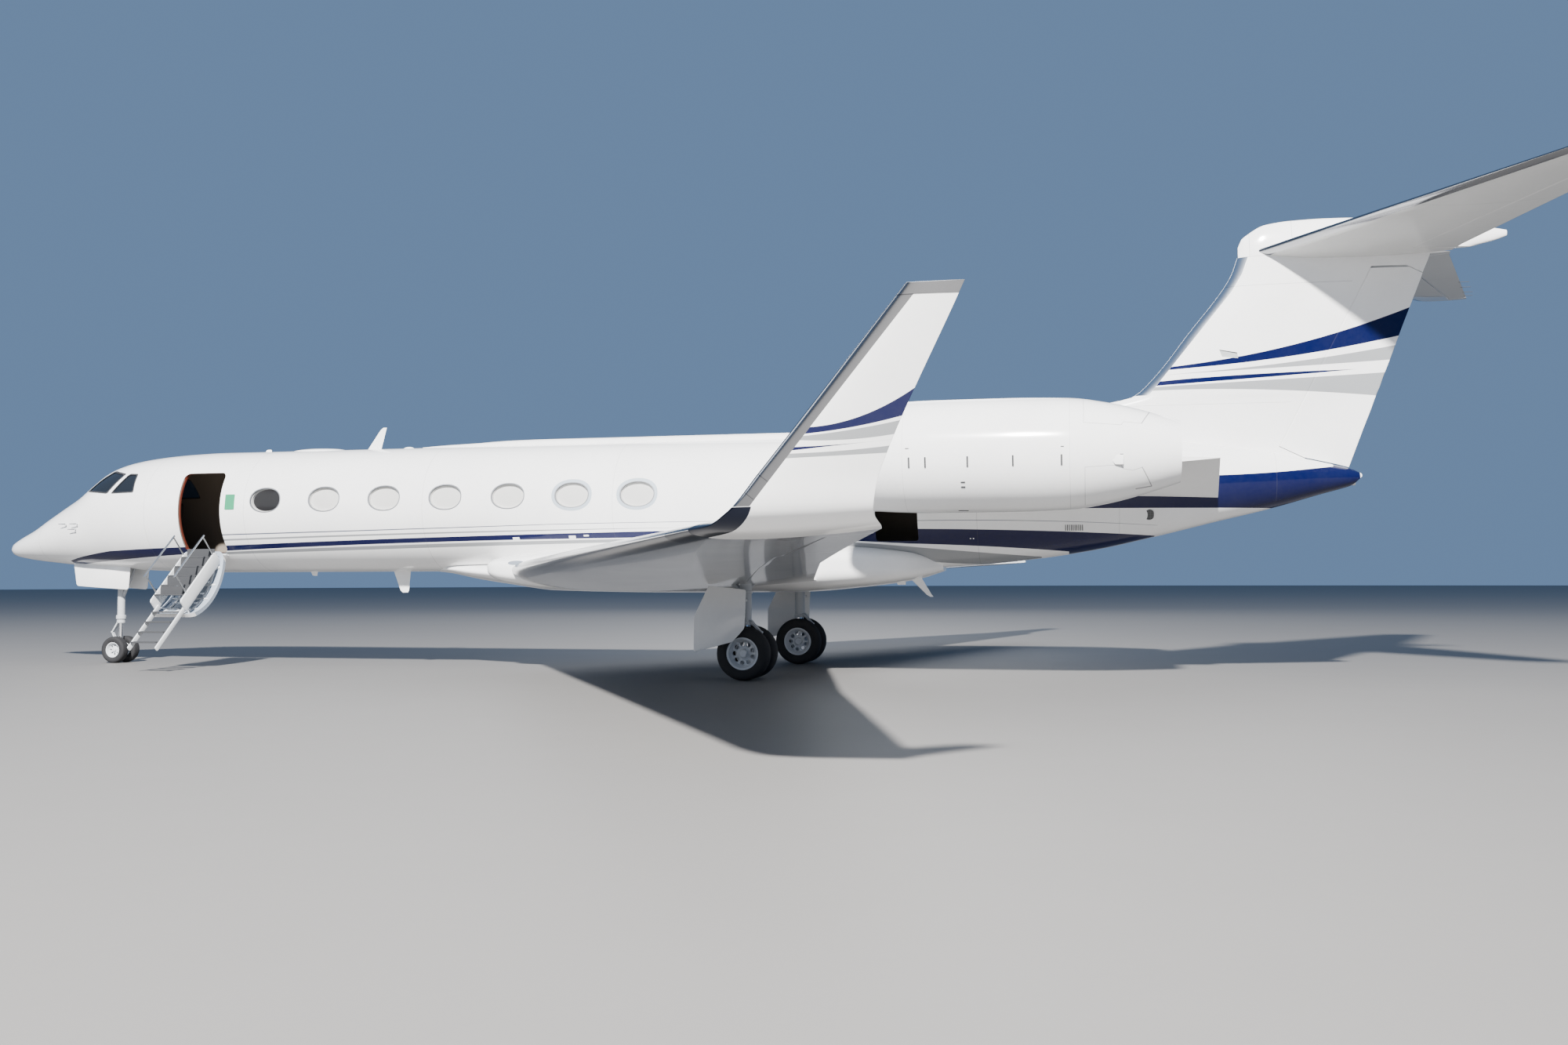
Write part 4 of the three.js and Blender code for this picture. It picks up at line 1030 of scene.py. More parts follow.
for number, node in enumerate(("windscreen", "cockpit_window_front", "cockpit_window_rear")):
    both_sides(node + "_glass", lambda: make_pane(number), COCKPIT_GLASS, (node,))
    both_sides(node + "_gasket", lambda: make_gasket(number), SEAL)


# Cabin windows
def window_tools(half_long, half_tall, places=WINDOWS):
    return merged(*[oval(s, WINDOW_Z, half_long, half_tall, 0.9, 1.4) for s in places])


def window_layer(outer, inner, half_long, half_tall, hole=0.0, places=WINDOWS):
    ring = shared(layer(outer, inner, 6.0, 14.6, 1.0, 160), window_tools(half_long, half_tall, places))
    return combined(ring, window_tools(half_long - hole, half_tall - hole)) if hole else ring


both_sides("cabin_panes", lambda: window_layer(0.03, 0.038, 0.318, 0.2295), CABIN_GLASS,
           ("cabin_window_strip",))
both_sides("window_rings", lambda: window_layer(-0.0004, 0.04, 0.3298, 0.2413, 0.02), WINDOW_FRAME)
both_sides("window_surrounds", lambda: window_layer(-0.0006, 0.004, 0.385, 0.288, 0.056, WINDOWS[5:]), HALO)
both_sides("window_reveals", lambda: window_layer(0.04, 0.1, 0.328, 0.2395, 0.03), SHADE_CREAM)
both_sides("window_shades", lambda: window_layer(0.068, 0.074, 0.3, 0.2115, places=WINDOWS[1:]), SHADE_CREAM)


# Body fairing and the long fairing on top
def belly_body(grow=0.0):
    return hull(BELLY, 11.12, 19.4, 0.11, grow, 128, 0.6, 1.5)


def make_landing_light():
    """The lens of a landing light in the front of the wing root fairing."""
    shell = combined(belly_body(0.002), belly_body(-0.02))
    return shared(shell, oval(11.84, 1.965, 0.17, 0.04, 1.0, 1.7, 40))


belly = merged(belly_body(), hull(KEEL, 9.6, 12.6, 0.1))
finish_piece("belly_fairing", belly, WHITE_PAINT, ("body_fairing",))
both_sides("landing_light", make_landing_light, LENS)
finish_piece("spine_fairing", hull(SPINE, 9.3, 19.75, 0.3, 0.0, 64), WHITE_PAINT, ("dorsal_fairing",))


# Wings
def wing_point(y, share):
    """A point on the wing's chord plane."""
    row = row_at(WING, 1, y)
    return x_at(row[0] + row[3] * share), y, row[2] - row[3] * share * math.sin(math.radians(row[6]))


def looks_down(face):
    return face.normal.z < -0.2


wing_rest, aileron = split_surface(foil(WING, 8, 96), WING, 1, wing_point(9.7, 0.76), wing_point(12.7, 0.76))
wing_rest, flap = split_surface(wing_rest, WING, 1, wing_point(2.6, 0.78), wing_point(9.6, 0.74))
wing_pieces = both_sides("wing_skin", wing_rest.copy, WING_PAINT_AND_SHADE, ("wing",))
wing_pieces += both_sides("aileron_skin", aileron.copy, WING_PAINT_AND_SHADE, ("aileron",), "aileron")
wing_pieces += both_sides("flap_skin", flap.copy, WING_PAINT_AND_SHADE, ("flap",), "flap")
# Faces that look down take the darker wing material: painted shade of the underside
paint_faces(wing_pieces, 1, looks_down)


def arc_rows(rows, steps):
    """Rows on smooth curves of their length along y and z."""
    length, table = 0.0, []
    for row, before in zip(rows, [rows[0]] + list(rows)):
        length += math.hypot(row[1] - before[1], row[2] - before[2])
        table.append([length, *row])
    places = [table[0][0] + (table[-1][0] - table[0][0]) * i / steps for i in range(steps + 1)]
    return [smooth_read(table, place)[1:] for place in places]


both_sides("winglet_skin", lambda: foil(arc_rows(WINGLET, 48), 1, 80), WINGLET_PAINT, ("winglet",))

# Fin, rudder, cap and stabilizer
FIN_TOP = 7.12
INLET = [(24.095, 5.54), (24.385, 5.48), (24.4, 5.38), (24.14, 5.415)]
INLET_FLOOR = 0.134
fin_rows = [list(FIN[0])] + arc_rows(FIN[1:], 72)
inlets = merged(*paired(plate(INLET, 0.2, sideways(INLET_FLOOR))))
fin_whole = combined(foil(fin_rows, 1, 88), above(FIN_TOP), inlets)
fin_rest, rudder = split_surface(fin_whole, fin_rows, 2, (x_at(25.075), 0, 3.87), (x_at(26.685), 0, 7.06),
                                 (0, -1, 0), 0.008, 2.5, 0.5, ceiling=6.862, headroom=0.036, steps=28)
rudder = combined(rudder, hull(FORM, 23, 26.34, 0.2, 0.02))


# Faces on the floor of the fin inlet's recess, which take grey as painted shade
def takes_inlet_shade(face):
    return abs(abs(face.center.y) - INLET_FLOOR) < 0.001 and 5.37 < face.center.z < 5.55


# The inlet's recessed floor takes the grey well paint as painted shade
paint_faces([finish_piece("fin_skin", fin_rest, [FIN_PAINT, WELL_PAINT], ("fin",))], 1, takes_inlet_shade)
finish_piece("rudder_skin", rudder, FIN_PAINT, ("rudder",), "rudder")

cap = combined(hull(CAP, 24.44, 28.65, 0.06), box((-30, -3, 5), (30, 3, FIN_TOP)))
BEACON = [(0, 0), (0.095, 0), (0.08, 0.2), (0.062, 0.2), (0.062, 0.22), (0.05, 0.255), (0.03, 0.268),
          (0, 0.27)]
beacon = turned(BEACON, "X", (0, 0, 0), 40)
upright = Matrix.Rotation(math.radians(-90), 4, "Y")
bmesh.ops.transform(beacon, matrix=Matrix.Translation((x_at(26.9), 0, 7.6)) @ upright, verts=beacon.verts)
cap_piece = finish_piece("fin_cap_skin", merged(cap, beacon), [CAP_PAINT, BEACON_RED], ("fin_cap",))
paint_faces([cap_piece], 1, lambda face: face.center.z > 7.8)

stab_rest, elevator = split_surface(foil(STABILIZER, 6, 88), STABILIZER, 1, (x_at(27.137), 0.47, 7.12),
                                    (x_at(29.055), 5.18, 7.261))
tail_pieces = both_sides("stabilizer_skin", stab_rest.copy, STABILIZER_PAINT_AND_SHADE, ("stabilizer",))
tail_pieces += both_sides("elevator_skin", elevator.copy, STABILIZER_PAINT_AND_SHADE, ("elevator",), "elevator")
# Faces that look down take the darker tail material: painted shade of the underside
paint_faces(tail_pieces, 1, looks_down)


# Engines. Stations of the lip's foremost ring and of the fan's middle
LIP, LIP_RADIUS = 18, 0.69
FAN = 18.95


def engine_turned(rows, sides=96):
    """A body turned on the port engine's axis. Rows: station, radius."""
    return turned([(r, x_at(s)) for s, r in rows], "X", ENGINE, sides)


def cowl_radius(station):
    return smooth_read(COWL, station)[1]


def lip_curve(inner, reach):
    """The rounded front of the nacelle, from its foremost ring out or in to a radius."""
    turns = [math.pi / 2 * i / 10 for i in range(11)]
    deep = inner - LIP_RADIUS
    return [(LIP + reach * (1 - math.cos(t)), LIP_RADIUS + deep * math.sin(t)) for t in turns]


def make_cowl():
    outside = [(s, cowl_radius(s)) for s in [18.75 + 0.15 * i for i in range(30)]]
    inside = [(23.28, 0.48), (23.28, 0.455), (22.8, 0.575), (22.2, 0.715), (21.6, 0.8), (20.6, 0.838),
              (19.45, 0.838), (19.42, 0.69), (19.4, 0.632), (18.9, 0.622), (18.5, 0.606)]
    return engine_turned(lip_curve(0.868, 0.6) + outside + inside + lip_curve(0.6, 0.25)[::-1])


def make_core():
    rows = [(19.12, 0), (19.12, 0.08), (19.3, 0.2), (19.3, 0.628), (19.42, 0.628), (19.42, 0.42),
            (21.3, 0.4), (22.3, 0.39), (22.55, 0.36), (22.6, 0.23), (22.85, 0.14), (23.0, 0.06), (23.02, 0)]
    return engine_turned(rows, 72)


def make_blade(turn):
    """A twisted fan blade."""
    rings = []
    for i in range(9):
        share = i / 8
        radius = 0.165 + (0.606 - 0.165) * share
        stagger = math.radians(28 + 34 * share)
        chord, thick = 0.085 + 0.035 * share, 0.008 - 0.005 * share

        def place(c, s, radius=radius, stagger=stagger, chord=chord, thick=thick):
            u, w = c * chord, s * thick
            side = u * math.sin(stagger) + w * math.cos(stagger)
            return Vector((x_at(FAN) + u * math.cos(stagger) - w * math.sin(stagger), side, radius))

        rings.append(place)
    bm = loft(rings, 16)
    place = Matrix.Translation(ENGINE) @ Matrix.Rotation(turn, 4, "X")
    bmesh.ops.transform(bm, matrix=place, verts=bm.verts)
    return bm


def make_fan():
    hub = [(18.62, 0), (18.64, 0.035), (18.7, 0.075), (18.78, 0.12), (18.86, 0.16), (18.92, 0.183),
           (19.0, 0.193), (19.12, 0.2), (19.12, 0)]
    return merged(engine_turned(hub, 64), *[make_blade(2 * math.pi * i / 24) for i in range(24)])


def cowl_inside(front, back):
    """Test of a face on the inner side of the nacelle, between two stations."""
    def test(face):
        s = LENGTH / 2 - face.center.x
        out = math.hypot(abs(face.center.y) - ENGINE[1], face.center.z - ENGINE[2])
        return front < s <= back and cowl_radius(s) - out > 0.018

    return test


nacelles = both_sides("nacelle", make_cowl, [COWL_PAINT, HOT_METAL, GEAR_PAINT], ("engine_cowl",),
                      smooth_angle=40)
paint_faces(nacelles, 2, cowl_inside(18.3, 19.41))
paint_faces(nacelles, 1, cowl_inside(19.41, 30))
both_sides("engine_block", make_core, HOT_METAL, ("engine_core",))
both_sides("fan", make_fan, FAN_METAL, ("engine_fan",), "engine_fan")


def make_pylon():
    """The pylon, ended inside the wall of the nacelle."""
    rows = [(s, cowl_radius(s) - 0.013) for s in [LIP + 0.22 * i for i in range(25)]]
    return combined(foil(PYLON, 6, 88), engine_turned([(LIP, 0), *rows, (23.28, 0)], 72))


both_sides("pylon_skin", make_pylon, WHITE_PAINT, ("pylon",))


# Wheels and gear. A pair of wheels: x, y, half spacing, radius, width, rim
MAIN_X, MAIN_Y, MAIN_AXLE = x_at(16.34), 2.185, 0.4445
NOSE_X, NOSE_AXLE = x_at(2.62), 0.2665
MAIN_PAIR = (MAIN_X, MAIN_Y, 0.265, MAIN_AXLE, 0.279, 0.262)
NOSE_PAIR = (NOSE_X, 0, 0.165, NOSE_AXLE, 0.184, 0.15)


def make_tyre(centre, radius, width, rim, grooves):
    """A tyre with grooves round its tread."""
    w = width / 2
    side = [(rim, w * 0.78), (rim * 1.04, w * 0.86), (radius * 0.72, w * 0.98), (radius * 0.82, w),
            (radius * 0.9, w * 0.94), (radius * 0.955, w * 0.8), (radius * 0.985, w * 0.6),
            (radius, w * 0.35)]
    rows = [(r, -d) for r, d in side] + side[::-1] + [(rim, -w * 0.78)]
    low, high = radius - 0.009, radius + 0.02
    cuts = []
    for g in grooves:
        cut = [(low, g - 0.004), (high, g - 0.004), (high, g + 0.004), (low, g + 0.004), (low, g - 0.004)]
        cuts.append(turned(cut, "Y", centre, 96))
    return combined(turned(rows, "Y", centre, 96), merged(*cuts))


def make_hub(centre, width, rim, outward, holes):
    """A wheel hub with a ring of round holes; outward is the sign of its outer side along Y."""
    w = width / 2
    rows = [(0, 0.5), (0.2, 0.5), (0.26, 0.42), (0.3, 0.1), (0.42, 0.02), (0.72, 0.1), (0.86, 0.5),
            (0.9, 0.76), (1.03, 0.82), (1.03, 0.74), (0.98, 0.7), (0.98, -0.78), (0.9, -0.78), (0.84, -0.3),
            (0.5, -0.2), (0, -0.2)]
    dish = turned([(rim * r, a * w * outward) for r, a in rows], "Y", centre, 96)

    def spot(i, share):
        t = 2 * math.pi * i / holes
        return Vector(centre) + Vector((math.cos(t), 0, math.sin(t))) * rim * share

    def across(start, reach, radius, sides):
        return bar(start, start + Vector((0, reach, 0)), radius, sides)

    cuts = [across(spot(i, 0.6) - Vector((0, w, 0)), 2 * w, rim * 0.145, 28) for i in range(holes)]
    foot = Vector((0, outward * w * 0.1, 0))
    bolts = [across(spot(i + 0.5, 0.76) + foot, outward * w * 0.16, 0.008, 6) for i in range(holes)]
    return merged(combined(dish, merged(*cuts)), *bolts)


def make_tyres(x, y, half, radius, width, rim, grooves):
    return merged(*[make_tyre((x, y + d, radius), radius, width, rim, grooves) for d in (-half, half)])


def make_hubs(x, y, half, radius, width, rim, holes, axle_half, axle_radius):
    """Both hubs on their axle."""
    axle = bar((x, y - axle_half, radius), (x, y + axle_half, radius), axle_radius, 32)
    return merged(make_hub((x, y + half, radius), width, rim, 1, holes),
                  make_hub((x, y - half, radius), width, rim, -1, holes), axle)


both_sides("main_tyres", lambda: make_tyres(*MAIN_PAIR, (-0.07, -0.025, 0.025, 0.07)), RUBBER,
           ("main_wheels",), "main_wheels")
both_sides("main_hubs", lambda: make_hubs(*MAIN_PAIR, 9, 0.28, 0.045), HUB_PAINT, (), "main_wheels",
           30)
finish_piece("nose_tyres", make_tyres(*NOSE_PAIR, (-0.04, 0.0, 0.04)), RUBBER, ("nose_wheels",),
             "nose_wheels")
finish_piece("nose_hubs", make_hubs(*NOSE_PAIR, 8, 0.17, 0.026), HUB_PAINT, (), "nose_wheels", 30)


def link(start, end, wide_start, wide_end, thick):
    """One arm of a torque link: a flat tapered plate with rounded ends, across the aircraft."""
    start, end = Vector(start), Vector(end)
    along = end - start
    outline = [(0, -wide_start / 2), (along.length, -wide_end / 2), (along.length, wide_end / 2),
               (0, wide_start / 2)]
    first, side = along.normalized(), Vector((0, 1, 0))
    out = first.cross(side)
    return plate(outline, thick, axes(first, side, out, start - out * thick / 2), 0.018, 4)


def collared(ends, middle):
    """Rows of a collar: its radius at the ends and in the middle."""
    return [(0, ends), (0.1, middle), (0.9, middle), (1, ends)]


def make_main_leg():
    x, y = MAIN_X, MAIN_Y
    top, knee = x + 0.03, x - 0.23
    cylinder = [(0, 0.1), (0.3, 0.1), (0.31, 0.108), (0.36, 0.108), (0.37, 0.096), (0.92, 0.096),
                (0.93, 0.106), (1.0, 0.106)]
    brace = [(0, 0.045), (0.4, 0.045), (0.42, 0.052), (0.6, 0.052), (0.62, 0.04), (1, 0.04)]
    return merged(
        tube(cylinder, (top, y, 1.72), (top, y, 0.9)),
        bar((x, y - 0.075, MAIN_AXLE), (x, y + 0.075, MAIN_AXLE), 0.095, 40),
        tube(brace, (top, y, 1.48), (top, y - 0.7, 1.64), 28),
        tube([(0, 0.04), (0.5, 0.04), (0.52, 0.03), (1, 0.03)], (top, y, 1.45), (top + 0.42, y, 1.69), 28),
        link((top - 0.07, y, 0.98), (knee, y, 0.78), 0.16, 0.06, 0.035),
        link((knee, y, 0.78), (x - 0.06, y, 0.5), 0.06, 0.14, 0.035),
        bar((knee, y - 0.05, 0.78), (knee, y + 0.05, 0.78), 0.024, 20),
    )


both_sides("main_leg_frame", make_main_leg, GEAR_PAINT, ("main_leg",))
both_sides("main_piston", lambda: bar((MAIN_X + 0.03, MAIN_Y, 0.92), (MAIN_X, MAIN_Y, 0.46), 0.066, 48),
           CHROME)
LEG_PLATE = [(15.8, 1.56), (15.55, 1.05), (15.545, 0.47), (16.2, 0.64), (16.4, 0.86), (16.43, 1.49)]


def make_leg_plate():
    panel = softened(plate(LEG_PLATE, 0.028, sideways(2.645), 0.035, 4), 0.004)
    arm = softened(block(16.265, 16.355, 2.245, 2.655, 1.29, 1.33), 0.008)
    return merged(panel, arm)


both_sides("leg_plate_panel", make_leg_plate, WHITE_PAINT, ("leg_plate",))


def make_nose_leg():
    x = NOSE_X
    cylinder = [(0, 0.075), (0.3, 0.075), (0.31, 0.084), (0.36, 0.084), (0.37, 0.072), (0.94, 0.072),
                (1, 0.072)]
    return merged(
        tube(cylinder, (x, 0, 2.1), (x, 0, 0.96)),
        tube(collared(0.085, 0.095), (x, 0, 0.96), (x, 0, 0.88)),
        tube([(0, 0.034), (0.55, 0.034), (0.57, 0.026), (1, 0.026)], (x, 0, 1.25), (x - 0.38, 0, 2.09), 28),
        bar((x, -0.2596, 1.99), (x, 0.2596, 1.99), 0.045, 32),
    )


def make_nose_fork():
    x, knee = NOSE_X, NOSE_X + 0.19
    return merged(
        bar((x, -0.052, NOSE_AXLE), (x, 0.052, NOSE_AXLE), 0.062, 40),
        link((x + 0.04, 0, 0.83), (knee, 0, 0.62), 0.1, 0.05, 0.028),
        link((knee, 0, 0.62), (x + 0.03, 0, NOSE_AXLE + 0.03), 0.05, 0.09, 0.028),
        bar((knee, -0.035, 0.62), (knee, 0.035, 0.62), 0.018, 20),
        tube(collared(0.07, 0.08), (x, 0, 0.87), (x, 0, 0.8)),
    )


finish_piece("nose_leg_frame", make_nose_leg(), GEAR_PAINT, ("nose_leg",))
finish_piece("nose_fork_frame", make_nose_fork(), GEAR_PAINT, ("nose_fork",), "nose_fork")
finish_piece("nose_piston", bar((NOSE_X, 0, 0.81), (NOSE_X, 0, 0.28), 0.048, 48), CHROME, (), "nose_fork")
NOSE_DOOR = [(1.72, 2.05), (1.8, 1.56), (3.0, 1.48), (3.04, 1.98)]
both_sides("nose_door_panel", lambda: softened(plate(NOSE_DOOR, 0.022, sideways(0.268), 0.05), 0.003),
           WHITE_PAINT, ("nose_well_door",))


# Airstair. It is modelled closed and swung open; the stairs are placed in the plane of the slope.
SLOPE = math.radians(43)
SIDES = (4.95, 5.58)
STEP_PITCH = 0.258


def opened(bm):
    """Swings what is modelled closed down round the airstair's hinge."""
    turn = Matrix.Translation((0, HINGE_Y, HINGE_Z)) @ Matrix.Rotation(-OPEN, 4, "X")
    bmesh.ops.transform(bm, matrix=turn @ Matrix.Translation((0, -HINGE_Y, -HINGE_Z)), verts=bm.verts)
    return bm


def door_wall(outer, inner, margin, corner):
    """The part of the wall's thickness that lies in the doorway, less a margin."""
    prism = plate(rectangle(*DOOR, margin), 1.0, sideways(0.5), corner, 8)
    return shared(layer(outer, inner, 4.7, 5.8, 0.1, 160), prism)


def make_leaf():
    return opened(combined(door_wall(0, WALL, 0.012, 0.1), door_wall(WALL - 0.022, WALL + 0.03, 0.07, 0.08)))


def make_leaf_ribs():
    """Frames across and along the inner side of the leaf."""
    long_ribs = [block(s - 0.02, s + 0.02, 0.3, 1.6, 2, 4) for s in (4.98, 5.235, 5.49)]
    cross_ribs = [block(4.7, 5.8, 0.3, 1.6, z - 0.018, z + 0.018) for z in (2.45, 2.78, 3.12, 3.45)]
    return opened(merged(*[shared(door_wall(WALL - 0.023, WALL - 0.001, 0.072, 0.08), merged(*ribs))
                           for ribs in (long_ribs, cross_ribs)]))


def stair_point(station, down, out):
    return Vector((x_at(station), HINGE_Y + down * math.cos(SLOPE) + out * math.sin(SLOPE),
                   HINGE_Z - down * math.sin(SLOPE) + out * math.cos(SLOPE)))


def stair_plates(stations, thick, outline, corner):
    """Plates in the plane of the slope; the outline is in distance down it and out from it."""
    down = (0, math.cos(SLOPE), -math.sin(SLOPE))
    out = (0, math.sin(SLOPE), math.cos(SLOPE))
    places = [axes(down, out, (1, 0, 0), stair_point(s + thick / 2, 0, 0)) for s in stations]
    return [softened(plate(outline, thick, place, corner), 0.003) for place in places]


def make_stringers():
    parts = stair_plates(SIDES, 0.03, rectangle(0.16, -0.05, 1.52, 0.215), 0.05)
    parts.append(bar((x_at(4.81), HINGE_Y, HINGE_Z), (x_at(5.66), HINGE_Y, HINGE_Z), 0.012))
    for s in (4.91, 5.165, 5.305, 5.56):
        parts.append(opened(bar((x_at(s), HINGE_Y, HINGE_Z), (x_at(s), 0.85, 2.26), 0.016, 20)))
    for s in SIDES:
        parts.append(bar(stair_point(s, 1.47, -0.01), opened_point(s, 0.965, 3.66), 0.015, 20))
    return merged(*parts)


def opened_point(station, y, z):
    """Where a point of the closed leaf lies when it is open."""
    a, b = y - HINGE_Y, z - HINGE_Z
    return Vector((x_at(station), HINGE_Y + a * math.cos(OPEN) + b * math.sin(OPEN),
                   HINGE_Z - a * math.sin(OPEN) + b * math.cos(OPEN)))


def make_steps(front, back, first, out, count, riser=0.0):
    """Level treads down the slope, each with a riser that hangs from its inner edge."""
    parts = []
    for i in range(count):
        _, y, z = stair_point(0, first + STEP_PITCH * i, out)
        parts.append(softened(block(front, back, y - 0.095, y + 0.095, z - 0.024, z), 0.005))
        if riser:
            parts.append(softened(block(front, back, y - 0.095, y - 0.083, z - 0.002, z + riser), 0.003, 1))
    return merged(*parts)


def make_foot_frame():
    return merged(*stair_plates((4.983, 5.547), 0.024, rectangle(1.42, -0.05, 2.54, 0.038), 0.02),
                  *stair_plates((4.972, 5.558), 0.012, rectangle(1.42, -0.03, 1.5, 0.018), 0.005))


def make_rails():
    parts = []
    for s in SIDES:
        parts.append(bar(stair_point(s, 0.2, 0.66), stair_point(s, 1.35, 0.66), 0.0165))
        for down in (0.24, 1.29):
            parts.append(bar(stair_point(s, down, 0.175), stair_point(s, down, 0.66), 0.013))
    return merged(*parts)


def leaf_inside(face):
    return math.hypot(face.center.y - 2.15, face.center.z - 2.157) < 1.145


leaf = finish_piece("airstair_leaf", make_leaf(), [WHITE_PAINT, STAIR_BLUE], ("airstair_door",), "airstair")
paint_faces([leaf], 1, leaf_inside)
treads = make_steps(4.966, 5.564, 0.27, 0.185, 5, 0.15)
foot_treads = make_steps(4.996, 5.534, 1.6, 0.027, 4)
for name, made, material, nodes, body in [
    ("airstair_ribs", make_leaf_ribs(), STAIR_WHITE, (), "airstair"),
    ("airstair_stringers", make_stringers(), STAIR_WHITE, (), "airstair"),
    ("airstair_treads", treads, CARPET, (), "airstair"),
    ("airstair_rails", make_rails(), RAIL_METAL, (), "airstair"),
    ("stair_foot_frame", make_foot_frame(), STAIR_WHITE, ("stair_foot",), "stair_foot"),
    ("stair_foot_treads", foot_treads, CARPET, (), "stair_foot"),
]:
    finish_piece(name, made, material, nodes, body)

# Baggage door, raised along the inside of the wall, and the trim of the doorway
raised = plate(rectangle(18.33, 2.885, 19.04, 3.45), 1.0, sideways(0.5), 0.05)
baggage_leaf = shared(layer(WALL + GAP, 0.135, 17.9, 19.4, 0.2, 160), raised)
finish_piece("baggage_door_leaf", baggage_leaf, WHITE_PAINT, ("baggage_door",))
opening = plate(rectangle(*DOOR, 0.008), 1.0, sideways(0.5), 0.1, 8)
finish_piece("door_trim", combined(door_wall(0.035, WALL + 0.004, 0, 0.11), opening), JAMB)


# Small outside fittings
def blade(station, z, root, tip, sweep, tall, thick):
    """A thin swept blade that stands on the skin, or hangs if tall is negative."""
    rows = [[station + sweep * t, 0, z + tall * t, root + (tip - root) * t, thick * (1 - 0.35 * t), 90, 0]
            for t in (0.0, 0.5, 0.9, 1.0)]
    end = rows[-1]
    rows[-1] = [end[0] + 0.03, 0, end[2], end[3] * 0.7, thick * 0.3, 90, 0]
    return foil(rows, 2, 40)


def dome(station, z, half_long, half_wide, tall):
    """A low rounded cover, wider than it is tall, sunk a little into the skin."""
    bm = bmesh.new()
    bmesh.ops.create_uvsphere(bm, u_segments=48, v_segments=24, radius=1)
    bmesh.ops.scale(bm, vec=(half_long, half_wide, tall), verts=bm.verts)
    bmesh.ops.translate(bm, vec=(x_at(station), 0, z), verts=bm.verts)
    return bm


roof_parts = [
    blade(8.1, 4.19, 0.3, 0.1, 0.32, 0.45, 0.022),
    blade(5.86, 4.19, 0.16, 0.1, 0.04, 0.075, 0.02),
    dome(7.075, 4.195, 0.6, 0.2, 0.065),
    dome(9.0, 4.2, 0.12, 0.06, 0.05),
]
finish_piece("roof_antennas", merged(*roof_parts), WHITE_PAINT)
belly_parts = [
    blade(8.7, 1.84, 0.36, 0.16, 0.16, -0.42, 0.024),
    blade(18.75, 1.7, 0.22, 0.075, 0.36, -0.36, 0.026),
    plate([(18.5, 1.7), (18.7, 1.7), (18.7, 1.553), (18.56, 1.553)], 0.03, sideways(-0.015)),
    blade(6.9, 1.84, 0.16, 0.1, 0.05, -0.09, 0.02),
]
finish_piece("belly_antennas", merged(*belly_parts), WHITE_PAINT)


def skin_point(station, z):
    """The point of the port skin at a station and height, and the direction out of it."""
    _, top, bottom, half = smooth_read(FORM, station)
    mid, tall = (top + bottom) / 2, (top - bottom) / 2
    y = half * math.sqrt(max(0.0, 1 - ((z - mid) / tall) ** 2))
    return Vector((x_at(station), y, z)), Vector((0, y / half ** 2, (z - mid) / tall ** 2)).normalized()


def make_probes():
    """Air-data probes: each a short mast and a tapered tube that points forward."""
    parts = []
    for station, z in ((2.04, 2.78), (2.35, 2.79), (2.3, 2.69)):
        spot, out = skin_point(station, z)
        knee = spot + out * 0.07
        parts.append(bar(spot - out * 0.01, knee, 0.016, 16, 0.009))
        parts.append(bar(knee - Vector((0.03, 0, 0)), knee + Vector((0.13, 0, 0)), 0.011, 16, 0.006))
    return merged(*parts)


def on_skin(station, z, long, tall, thick, corner):
    """A thin rounded plate that lies on the port skin."""
    spot, out = skin_point(station, z)
    place = axes((-1, 0, 0), out.cross(Vector((1, 0, 0))), out, spot - out * thick * 0.55)
    return plate(centred(long, tall), thick, place, corner, 5)


def make_louvre():
    return merged(*[on_skin(21.515 + 0.031 * i, 2.514, 0.014, 0.12, 0.012, 0.006) for i in range(10)])


def make_service_panels():
    rows = [(11.7, 2.41, 0.13, 0.06), (12.79, 2.43, 0.13, 0.06), (13.06, 2.455, 0.1, 0.03),
            (19.93, 2.343, 0.022, 0.022), (19.98, 2.343, 0.022, 0.022)]
    return merged(*[on_skin(*row, 0.008, 0.01) for row in rows])


both_sides("air_data_probes", make_probes, METAL)
both_sides("aft_louvre", make_louvre, DARK)
both_sides("aft_mesh_vent", lambda: on_skin(22.885, 2.72, 0.15, 0.195, 0.012, 0.07), MESH)
both_sides("service_panels", make_service_panels, WHITE_PAINT)
finish_piece("door_plate", on_skin(5.9, 3.16, 0.2, 0.29, 0.006, 0.012), GREEN)

# The air scoop on the outer side of the nacelle, and a dark plate at its mouth as painted shade of the
# opening
SCOOP = [(22.146, 3.528), (22.42, 3.528), (22.412, 3.374), (22.29, 3.376)]
MOUTH = [(22.27, 3.52), (22.41, 3.52), (22.41, 3.54), (22.29, 3.54)]
both_sides("nacelle_scoop", lambda: softened(plate(SCOOP, 0.12, sideways(2.99)), 0.012, 3), WHITE_PAINT)
# The dark plate stands for the shaded opening: painted shade
both_sides("scoop_mouth_shade", lambda: plate(MOUTH, 0.1, sideways(3.0)), DARK)


def on_nacelle(station, z, wide, tall, thick=0.016):
    """A thin upright plate on the nacelle's outer side."""
    radius = cowl_radius(station)
    t = math.asin((z - ENGINE[2]) / radius)
    out = Vector((0, math.cos(t), math.sin(t)))
    up = Vector((0, -math.sin(t), math.cos(t)))
    spot = Vector((x_at(station), ENGINE[1], ENGINE[2])) + out * (radius - thick * 0.6)
    return plate(centred(wide, tall), thick, axes((-1, 0, 0), up, out, spot), min(wide, tall) * 0.45, 4)


